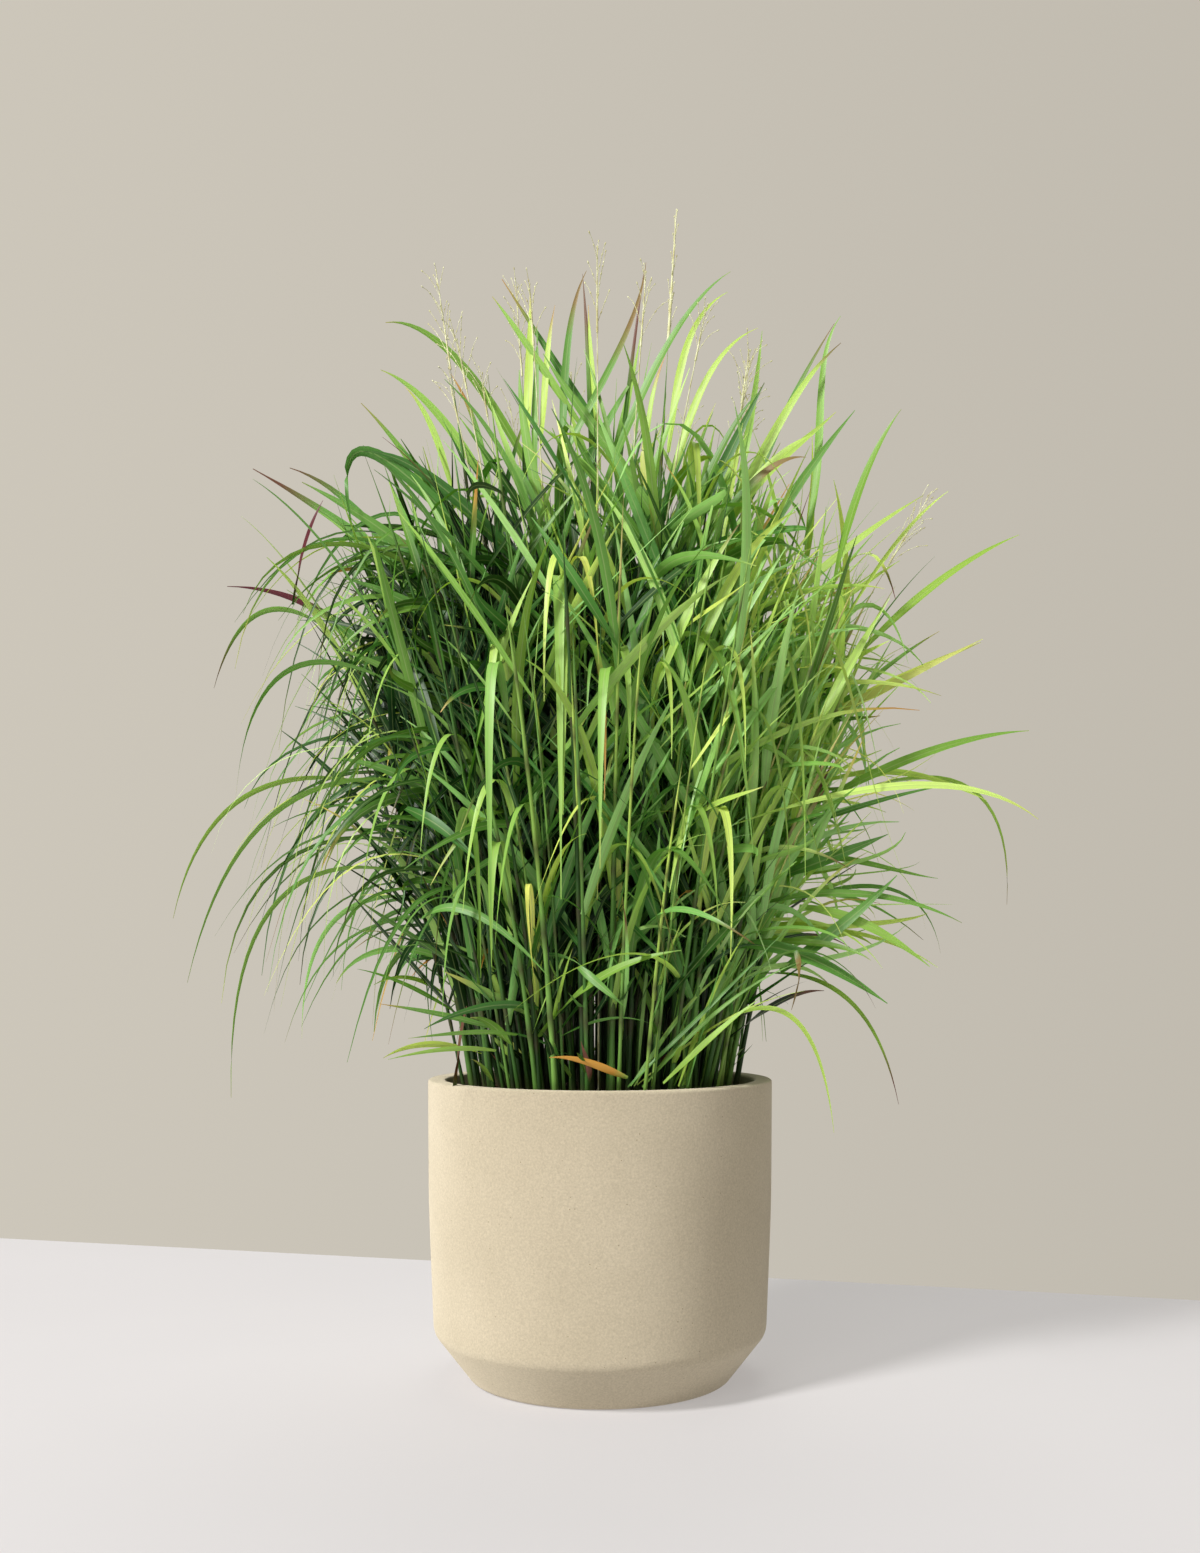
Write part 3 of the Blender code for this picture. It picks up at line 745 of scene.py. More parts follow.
def drooping(start, direction, length, droop, sideways=0.0, count=LEAF_RINGS):
    """Points along a blade that leaves in that direction and bends down and a little sideways as it goes."""
    across = unit(np.cross(direction, (0.0, 0.0, 1.0)))
    points = [start]
    for i in range(count - 1):
        share = (i + 0.5) / (count - 1)
        heading = direction + across * (sideways * share) - upwards(droop * share ** DROOP_CURVE)
        points.append(points[-1] + unit(heading) * length / (count - 1))
    return np.array(points)


def bent(start, rise, fall, tip, count=20):
    """Points along a blade that rises, bends over and hangs: the ends of a cubic curve and its two pulls."""
    t = np.linspace(0.0, 1.0, count)[:, None]
    first_half = start * (1 - t) ** 3 + rise * (3 * t * (1 - t) ** 2)
    return first_half + fall * (3 * t ** 2 * (1 - t)) + tip * t ** 3


def inside_box(points, margin=0.004):
    return all(
        low + margin < points[:, i].min() and points[:, i].max() < high - margin
        for i, (low, high) in enumerate(LEAF_BOX)
    )


def finish_leaves(name, strands, node_names=()):
    leaves = grow(guide_object(name, strands), blade_maker, blade_material)
    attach(leaves, "root")
    if node_names:
        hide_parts(*node_names)


blade_maker = leaf_tree()
blade_material = leaf_material()
strands = []
for table, rows in ((LEAFY_STEMS, SIDE_LEAVES), (FLOWER_STEMS, FLOWER_STEM_LEAVES)):
    for name, (_, azimuth, _, _, _, fan) in table.items():
        for i, (share, length, rise) in enumerate(rows):
            side = azimuth + (fan if i % 2 == 0 else -fan)
            points = side_leaf(stem_paths[name], share, side, length, rise)
            tone = grower.uniform(0.25, 0.80)
            strands.append(leaf_strand(points, SIDE_LEAF_WIDTH, SIDE_LEAF_TWIST, tone, twist_end=1.0))
finish_leaves("stem_leaves", strands)


# Leaves of the stems between.
# The clump has many more stems than stand out singly, and each bears up to ten blades, so its middle is a
# thicket. Low blades are short and dark with painted shade, high ones upright and lighter with painted light,
# and those in front hang down. The inside is darkened and the right side lightened the same way.
FILLER_GROUPS = 3
FILLER_LEAVES = 10
LOW_LEAVES = 170
LOW_PART = 0.35
HIGH_PART = 0.65
ATTEMPTS = 12
SHORTENING = 0.94
DRY_SHARE = 0.12
NARROW_SHARE = 0.35
LIGHTEST_NARROW = 0.94
LIGHTEST_BROAD = 0.80
# Hanging blades are lighter, partly for their pale undersides and partly as painted light.
HANGING_LIGHTER = 0.10
SIDE_FOOT_RADIUS = 0.14
SHORTEST_LOW_LEAF = 0.04
LOW_STEM_NEARNESS = 0.45
# Blades that arch out of the clump's sides: how many, then the ranges of their compass angle, the height
# they leave it at, their reach from the planter's axis, their lift and drop, their width and their tone.
# The tone ranges are higher for the blades on the right, at compass angles near 0, as painted light.
SIDE_LEAVES_OUT = [
    (60, (145, 212), (0.62, 0.84), (0.24, 0.41), (0.02, 0.11), (0.06, 0.26), (0.0030, 0.0062), (0.06, 0.60)),
    (48, (145, 222), (0.42, 0.64), (0.22, 0.40), (0.01, 0.09), (0.02, 0.24), (0.0030, 0.0070), (0.10, 0.52)),
    (75, (150, 255), (0.40, 0.88), (0.21, 0.30), (0.00, 0.06), (-0.03, 0.10), (0.0070, 0.0120), (0.06, 0.46)),
    (35, (285, 390), (0.40, 0.86), (0.21, 0.30), (0.00, 0.05), (-0.05, 0.06), (0.0070, 0.0120), (0.28, 0.92)),
    (30, (150, 210), (0.45, 0.84), (0.28, 0.42), (0.02, 0.12), (0.05, 0.30), (0.0012, 0.0022), (0.80, 1.00)),
    (50, (-40, 36), (0.40, 0.78), (0.24, 0.36), (0.00, 0.06), (-0.06, 0.06), (0.0040, 0.0085), (0.50, 1.00)),
    (22, (-30, 30), (0.45, 0.84), (0.26, 0.38), (0.00, 0.08), (-0.08, 0.08), (0.0014, 0.0030), (0.85, 1.00)),
    (40, (40, 140), (0.42, 0.80), (0.26, 0.38), (0.02, 0.10), (0.05, 0.26), (0.0030, 0.0080), (0.30, 0.80)),
]


def inside_thicket(points, allowance):
    reach = np.interp(points[:, 2], THICKET_HEIGHTS, THICKET_REACHES) * allowance
    depth = np.where(points[:, 1] < 0.0, points[:, 1] * FLATTER_IN_FRONT, points[:, 1])
    return bool((np.hypot(points[:, 0], depth) < reach).all()) and inside_box(points)


def leaving(stem, share, outward, lift):
    """The direction of a blade that leaves its stem outwards at that angle to it."""
    return unit(direction_at(stem["path"], share) * math.cos(lift) + outward * math.sin(lift))


def thicket_tones(points, hanging):
    """Tones along a blade, the darkest that each may be, and how low the blade is. The tone is painted shade
    and light: darker inside the clump and low down, darker still low on the left and lighter low on the
    right, and lighter outside, high up and at the right. Where it hangs it is lighter, partly for its pale
    underside and partly as painted light. A scatter grows towards the outside."""
    reach = np.interp(points[:, 2], THICKET_HEIGHTS, THICKET_REACHES)
    outer = np.minimum(1.0, np.hypot(points[:, 0], points[:, 1] * FLATTER_IN_FRONT) / reach)
    # Painted shade inside the clump and low down, painted light outside, high up and at the right.
    outside = 0.74 * outer ** 4
    rightwards = 1.4 * points[:, 0]
    high_up = 1.7 * np.maximum(0.0, points[:, 2] - 0.75)
    low_down = 0.60 * np.maximum(0.0, 0.65 - points[:, 2])
    tone = outside + rightwards + high_up - low_down
    # Painted shade low on the left and painted light low on the right.
    lower = np.clip((0.85 - points[:, 2]) / 0.25, 0.0, 1.0)
    tone += lower * (2.5 * np.maximum(points[:, 0], -0.13) - 0.06)
    tone += HANGING_LIGHTER if hanging else 0.0
    tone += grower.normal(0.0, 1.0) * (0.03 + 0.28 * outer ** 2)
    return tone, 0.14 * outer ** 2, float(lower.mean())


def filler_leaf(stem, share, side):
    """One blade of a stem in the thicket, or None where none fits."""
    nearness = stem["nearness"]
    low = max(0.0, 1.0 - share / LOW_PART)
    high = max(0.0, (share - HIGH_PART) / LOW_PART)
    start = point_along(stem["path"], share)
    allowance = grower.uniform(0.85, 1.28)
    length = grower.uniform(0.20, 0.40) * (1.0 - 0.30 * low - 0.15 * high)
    for attempt in range(ATTEMPTS):
        outward = outwards(stem["azimuth"] + grower.uniform(10, 140) * side)
        hanging = grower.random() < (0.08 + 0.34 * max(0.0, -outward[1]) * nearness) * (1.0 - high)
        lift = math.radians(grower.uniform(12, 36 + 14 * nearness) - 10 * high)
        direction = leaving(stem, share, outward, lift)
        droop = grower.uniform(0.0, 0.9) * (1.0 - 0.7 * high) + 0.5 * low
        twist = grower.uniform(25, 85) * grower.choice([-1, 1])
        if hanging:
            droop += grower.uniform(1.4, 3.4)
            twist = grower.uniform(-25, 25)
        points = drooping(start, direction, length, droop, grower.uniform(-0.35, 0.35))
        if inside_thicket(points, allowance):
            break
        length *= SHORTENING
    else:
        return None
    tone, darkest, lowness = thicket_tones(points, hanging)
    dry = 0.0
    rust = 0.0
    if grower.random() < DRY_SHARE:
        dry = grower.uniform(0.05, 0.35)
        rust = grower.choice([0.0, 0.0, 0.1, 0.3, 0.6, 0.9])
    narrow = grower.random() < NARROW_SHARE * (1.0 - high)
    width = grower.uniform(0.0030, 0.0060) if narrow else grower.uniform(0.0070, 0.0125)
    tone = np.clip(tone, darkest, LIGHTEST_NARROW if narrow else LIGHTEST_BROAD)
    tint = grower.uniform(0.0, 0.85) - 0.35 * lowness
    return leaf_strand(points, width, twist, tone, dry, rust, 0.6, 0.4, tint)


def outer_stem(least):
    """One of the stems between that stands at least that near to the planter's wall."""
    while True:
        stem = filler_stems[grower.integers(len(filler_stems))]
        if stem["nearness"] > least:
            return stem


def arching_leaf(azimuths, heights, reaches, lifts, drops, widths, tones):
    """A narrow blade that leaves the clump, arches outwards and ends higher or lower than it began."""
    outward = outwards(grower.uniform(*azimuths))
    across = np.array([-outward[1], outward[0], 0.0]) * grower.uniform(-0.06, 0.06)
    height = grower.uniform(*heights)
    reach = grower.uniform(*reaches) - SIDE_FOOT_RADIUS
    lift = grower.uniform(*lifts)
    drop = grower.uniform(*drops)
    bend = grower.uniform(0.70, 1.0)
    while True:
        foot = outward * SIDE_FOOT_RADIUS + upwards(height)
        rise = foot + outward * reach * 0.35 + upwards(lift)
        fall = foot + outward * reach * bend + upwards(lift * 0.9)
        tip = foot + outward * reach + across + upwards(lift * 0.5 - drop)
        points = bent(foot, rise, fall, tip, LEAF_RINGS)
        if inside_box(points):
            break
        reach *= SHORTENING
        drop *= 0.85
    twist = grower.uniform(35, 85) * grower.choice([-1, 1])
    dry = max(0.0, grower.uniform(-0.3, 0.3))
    rust = grower.choice([0.0, 0.0, 0.2, 0.6])
    return leaf_strand(points, grower.uniform(*widths), twist, grower.uniform(*tones), dry, rust, 0.6, 0.4)


def low_leaf(stem):
    """A short blade from the foot of an outer stem, at any slant, some of them over the planter's rim."""
    share = grower.uniform(0.02, 0.34)
    start = point_along(stem["path"], share)
    outward = outwards(stem["azimuth"] + grower.uniform(-100, 100))
    lift = grower.uniform(6, 34) if grower.random() < 0.6 else grower.uniform(34, 65)
    direction = leaving(stem, share, outward, math.radians(lift))
    length = grower.uniform(0.08, 0.26)
    droop = grower.uniform(0.0, 1.8)
    points = drooping(start, direction, length, droop, grower.uniform(-0.4, 0.4))
    while not (inside_box(points, 0.02) and inside_thicket(points, 1.2)) and length > SHORTEST_LOW_LEAF:
        length *= 0.85
        droop *= 0.9
        points = drooping(start, direction, length, droop)
    tone = min(0.95, max(0.05, grower.normal(0.34, 0.24)))
    dry = grower.choice([0.0, 0.0, 0.15, 0.4])
    width = grower.uniform(0.003, 0.009)
    twist = grower.uniform(-80, 80)
    return leaf_strand(points, width, twist, tone, dry, grower.choice([0.0, 0.3, 0.8]))


strands = []
for stem in filler_stems:
    for i in range(FILLER_LEAVES):
        share = 0.10 + 0.88 * ((i + grower.uniform(0.0, 1.0)) / FILLER_LEAVES) ** 0.85
        crowded = share > 0.72 and grower.random() < 0.50
        strand = None if crowded else filler_leaf(stem, share, 1 if i % 2 == 0 else -1)
        if strand:
            strands.append(strand)
for count, *ranges in SIDE_LEAVES_OUT:
    strands += [arching_leaf(*ranges) for _ in range(count)]
for _ in range(LOW_LEAVES):
    strands.append(low_leaf(outer_stem(LOW_STEM_NEARNESS)))
for group in range(FILLER_GROUPS):
    finish_leaves("inner_leaves_" + str(group + 1), strands[group::FILLER_GROUPS])


# Long arching leaves.
# The longest blades stand clear of the thicket: they fan out over the top, arch to both sides and hang
# down in front, and a few have dried to yellow or red-brown from the tip.
LEAF_GAP = 0.0012
NODE_SWELLING = 1.18
LONG_LEAF_RINGS = 22
# Each leaf: the stem that it grows from, how far up it, the point its arch is drawn towards, its tip and its
# width in millimetres, its twist in degrees, its tone, the share of it that has dried and what it dried to.
# The leaves at the right have higher tones as painted light.
LONG_LEAVES = {
    "leaf_01": ("flower_stem_02", 0.60, (-235, 30, 875), (-390, 40, 965), 15, 62, 0.45, 0.3, 0.8),
    "leaf_02": ("leafy_stem_10", 0.72, (-240, 140, 960), (-370, 140, 1000), 14, 62, 0.4, 0.25, 0.7),
    "leaf_03": ("leafy_stem_04", 0.75, (-185, 100, 970), (-280, 100, 1065), 13, 62, 0.45, 0.15, 0.4),
    "leaf_04": ("leafy_stem_11", 0.75, (-290, 85, 840), (-430, 100, 845), 12, 62, 0.3, 0.55, 1),
    "leaf_05": ("leafy_stem_01", 0.80, (-150, 60, 1160), (-250, 80, 1155), 12, 62, 0.4, 0.1, 0.3),
    "leaf_06": ("flower_stem_03", 0.70, (-170, 50, 1055), (-250, 50, 1085), 12, 62, 0.62, 0.12, 0.1),
    "leaf_07": ("leafy_stem_12", 0.58, (-410, -20, 655), (-445, -20, 460), 6.5, 62, 0.52, 0.1, 0.2),
    "leaf_08": ("leafy_stem_13", 0.60, (-350, -140, 630), (-390, -160, 395), 6.5, 62, 0.52, 0.06, 0.1),
    "leaf_09": ("leafy_stem_13", 0.40, (-370, -120, 575), (-355, -120, 285), 5.8, 62, 0.48, 0.06, 0.2),
    "leaf_10": ("leafy_stem_11", 0.35, (-335, 90, 530), (-335, 120, 330), 6.5, 62, 0.62, 0.1, 0.1),
    "leaf_11": ("leafy_stem_12", 0.90, (-375, -30, 840), (-405, -40, 700), 6.5, 62, 0.5, 0.25, 0.6),
    "leaf_12": ("leafy_stem_13", 0.08, (-175, -80, 345), (-215, -80, 320), 8, 62, 0.72, 0.1, 0.1),
    "leaf_13": ("leafy_stem_13", 0.79, (-340, -160, 765), (-340, -200, 565), 6.5, 62, 0.48, 0.1, 0.1),
    "leaf_14": ("leafy_stem_02", 0.72, (50, -50, 1100), (140, -60, 1150), 12, 62, 0.45, 0.06, 0.1),
    "leaf_15": ("leafy_stem_06", 0.80, (115, -120, 940), (160, -120, 990), 11, 62, 0.3, 0, 0),
    "leaf_16": ("flower_stem_04", 0.75, (180, 50, 1000), (270, 60, 1145), 10, 62, 0.42, 0.25, 0.55),
    "leaf_17": ("leafy_stem_17", 0.84, (250, -115, 900), (305, -130, 970), 13, 62, 0.46, 0.1, 0.7),
    "leaf_18": ("flower_stem_05", 0.75, (360, 10, 840), (460, 10, 880), 11, 62, 0.6, 0.05, 0),
    "leaf_19": ("leafy_stem_07", 0.70, (375, 140, 760), (450, 150, 790), 11, 62, 0.92, 0.3, 0),
    "leaf_20": ("leafy_stem_17", 0.50, (330, -70, 645), (440, -70, 650), 12, 62, 0.5, 0.06, 0.1),
    "leaf_21": ("leafy_stem_16", 0.50, (340, -140, 625), (420, -160, 550), 10, 62, 0.9, 0.2, 0),
    "leaf_22": ("flower_stem_05", 0.48, (450, 0, 695), (430, 0, 475), 6.5, 62, 0.62, 0.2, 0.5),
    "leaf_23": ("leafy_stem_07", 0.30, (365, 120, 565), (390, 140, 425), 6.5, 62, 0.52, 0.1, 0.3),
    "leaf_24": ("leafy_stem_16", 0.10, (205, -140, 435), (220, -150, 255), 5.8, 62, 0.74, 0.06, 0.1),
    "leaf_25": ("leafy_stem_17", 0.22, (270, -70, 425), (295, -80, 275), 5.8, 62, 0.5, 0.25, 0.9),
    "leaf_26": ("leafy_stem_14", 0.75, (-110, -240, 800), (-95, -260, 425), 11, 8, 0.66, 0, 0),
    "leaf_27": ("leafy_stem_05", 0.75, (-40, -200, 925), (-35, -240, 470), 12, 8, 0.68, 0, 0),
    "leaf_28": ("leafy_stem_15", 0.72, (0, -250, 780), (0, -280, 495), 11, 8, 0.6, 0.1, 0.1),
    "leaf_29": ("leafy_stem_06", 0.60, (120, -180, 860), (140, -220, 515), 12, 8, 0.62, 0, 0),
    "leaf_30": ("leafy_stem_14", 0.12, (-10, -190, 415), (75, -200, 425), 11, 62, 0.5, 0, 0),
    "leaf_31": ("leafy_stem_01", 0.92, (-10, 50, 1075), (-20, 50, 1200), 8, 62, 0.35, 0.4, 0.75),
    "leaf_32": ("leafy_stem_01", 0.70, (30, 30, 1055), (50, 30, 1195), 8, 62, 0.3, 0.45, 0.85),
    "leaf_33": ("leafy_stem_09", 0.60, (-20, 300, 850), (-40, 400, 620), 11, 8, 0.5, 0, 0),
    "leaf_34": ("leafy_stem_08", 0.60, (130, 270, 820), (200, 380, 600), 11, 8, 0.5, 0.1, 0.3),
    "leaf_35": ("leafy_stem_10", 0.45, (-170, 250, 720), (-270, 330, 500), 10, 62, 0.5, 0, 0),
    "leaf_36": ("leafy_stem_03", 0.80, (100, 200, 1020), (170, 300, 950), 10, 62, 0.5, 0.1, 0.1),
}


def in_metres(millimetres):
    return np.array(millimetres) / 1000.0


def long_leaf(stem, share, pull, tip):
    """The middle line of a leaf that starts just clear of its stem."""
    path = stem_paths[stem]
    foot = point_along(path, share)
    along = direction_at(path, share)
    reach = pull - foot
    away = unit(reach - along * reach.dot(along))
    clear = STEM_RADIUS * (1.0 - STEM_TAPER * share) * NODE_SWELLING + LEAF_GAP
    return arc(foot + away * clear, pull, tip, LONG_LEAF_RINGS)


strands = []
for stem, share, pull, tip, width, twist, tone, dry, rust in LONG_LEAVES.values():
    points = long_leaf(stem, share, in_metres(pull), in_metres(tip))
    strands.append(leaf_strand(points, in_metres(width), twist, tone, dry, rust))
finish_leaves("long_leaves", strands, LONG_LEAVES)


# Leaves that bend over in front.
# Blades of the stems in front rise, fold over and hang, so that they show their pale undersides and whole
# width. They stand out light against the dark inside of the clump, partly by their pale undersides and partly
# by painted light in their high tones. A few are dead: brown, orange or red.
YOUNG_LEAVES = 14
YOUNG_FOOT_HEIGHT = 0.296
YOUNG_TWIST = 70
# Each: its foot, the two points that pull its curve, its tip and its width, all in millimetres, and its
# tone, the share of it that has dried and what it dried to.
# Their high tones are partly painted light.
FRONT_LEAVES = [
    ((-30, -130, 660), (-22, -170, 850), (-56, -200, 860), (-52, -215, 655), 11, 0.84, 0, 0),
    ((-40, -130, 660), (-32, -170, 850), (-10, -200, 840), (-1, -215, 690), 10, 0.94, 0.1, 0),
    ((40, -130, 620), (62, -170, 760), (118, -200, 800), (142, -225, 516), 12, 0.7, 0, 0),
    ((80, -130, 620), (105, -170, 740), (140, -200, 760), (134, -220, 598), 9, 0.8, 0, 0),
    ((-85, -130, 640), (-90, -170, 760), (-108, -210, 760), (-101, -215, 573), 11, 0.74, 0, 0),
    ((-45, -140, 620), (-40, -180, 760), (-32, -220, 760), (-34, -225, 548), 13, 0.7, 0, 0),
    ((-35, -140, 640), (-22, -180, 760), (10, -210, 750), (4, -220, 562), 10, 0.6, 0.4, 0.35),
    ((20, -120, 420), (15, -170, 600), (-10, -210, 620), (-62, -225, 459), 12, 0.88, 0, 0),
    ((-20, -130, 420), (-5, -170, 540), (35, -200, 580), (69, -220, 416), 11, 0.72, 0.22, 0.5),
    ((30, -130, 420), (45, -180, 560), (70, -220, 540), (122, -235, 443), 14, 0.46, 0, 0),
    ((75, -140, 400), (55, -200, 430), (0, -240, 440), (-85, -230, 365), 9, 0.74, 0, 0),
    ((95, -130, 460), (105, -170, 600), (128, -210, 600), (118, -225, 416), 10, 0.84, 0, 0),
    ((70, -130, 450), (75, -170, 600), (104, -210, 600), (108, -220, 440), 9, 0.64, 0, 0),
    ((150, -100, 400), (190, -130, 450), (240, -150, 420), (260, -160, 371), 9, 0.5, 0.3, 0.85),
    ((-50, -130, 720), (-100, -150, 780), (-160, -160, 850), (-220, -180, 890), 13, 0.36, 0, 0),
    ((-120, -130, 560), (-125, -170, 660), (-160, -200, 660), (-165, -215, 515), 9, 0.64, 0, 0),
    ((-75, -140, 500), (-85, -180, 620), (-115, -210, 620), (-125, -220, 460), 10, 0.68, 0, 0),
    ((-60, -130, 470), (-55, -170, 600), (-85, -220, 600), (-95, -225, 430), 9, 0.6, 0, 0),
    ((-85, -140, 440), (-95, -180, 570), (-103, -215, 550), (-98, -225, 410), 12, 0.64, 0, 0),
    ((0, -150, 700), (0, -170, 790), (50, -200, 800), (95, -210, 745), 6, 0.88, 0, 0),
    ((-80, -140, 740), (-110, -160, 800), (-160, -180, 810), (-185, -190, 700), 8, 0.78, 0, 0),
    ((120, -120, 580), (130, -150, 700), (175, -180, 700), (178, -190, 475), 9, 0.66, 0, 0),
    ((150, -100, 740), (170, -130, 840), (205, -150, 820), (205, -160, 700), 8, 0.88, 0, 0),
    ((100, -80, 860), (120, -100, 950), (180, -120, 970), (200, -130, 840), 8, 0.84, 0, 0),
    ((10, -140, 660), (15, -180, 740), (30, -220, 740), (27, -225, 590), 10, 0.66, 0, 0),
    ((50, -140, 630), (52, -180, 720), (70, -210, 730), (66, -220, 600), 8, 0.78, 0, 0),
    ((-150, -100, 660), (-170, -130, 760), (-215, -160, 740), (-225, -170, 600), 9, 0.66, 0, 0),
    ((-150, -100, 540), (-170, -130, 640), (-215, -160, 620), (-225, -170, 480), 8, 0.6, 0.1, 0.1),
    ((160, -100, 560), (180, -120, 660), (220, -150, 640), (235, -160, 500), 8, 0.76, 0, 0),
    ((-105, -140, 440), (-100, -180, 520), (-142, -210, 530), (-143, -215, 365), 7, 0.5, 0, 0),
    ((-140, -130, 460), (-135, -180, 600), (-112, -210, 600), (-108, -220, 400), 10, 0.6, 0, 0),
    ((-90, -140, 560), (-60, -190, 620), (-10, -210, 600), (32, -215, 550), 10, 0.26, 0, 0),
    ((40, -140, 530), (55, -170, 600), (100, -200, 600), (118, -210, 520), 9, 0.34, 0, 0),
    ((150, -110, 520), (160, -140, 610), (195, -160, 610), (212, -175, 485), 9, 0.7, 0, 0),
    ((-100, -120, 430), (-130, -150, 500), (-185, -180, 500), (-205, -190, 370), 8, 0.46, 0, 0),
    ((150, -80, 740), (260, -120, 820), (230, -150, 660), (290, -160, 495), 9, 0.82, 0, 0),
    ((180, -100, 600), (195, -130, 660), (215, -150, 620), (240, -160, 480), 9, 0.7, 0, 0),
    ((160, -110, 660), (170, -140, 770), (200, -160, 760), (195, -165, 490), 8, 0.66, 0, 0),
    ((-65, -140, 420), (-60, -180, 510), (-78, -200, 520), (-58, -215, 385), 5, 0.98, 0, 0),
    ((20, -140, 500), (10, -180, 550), (45, -200, 540), (62, -210, 395), 8, 0.44, 0.2, 0.5),
]
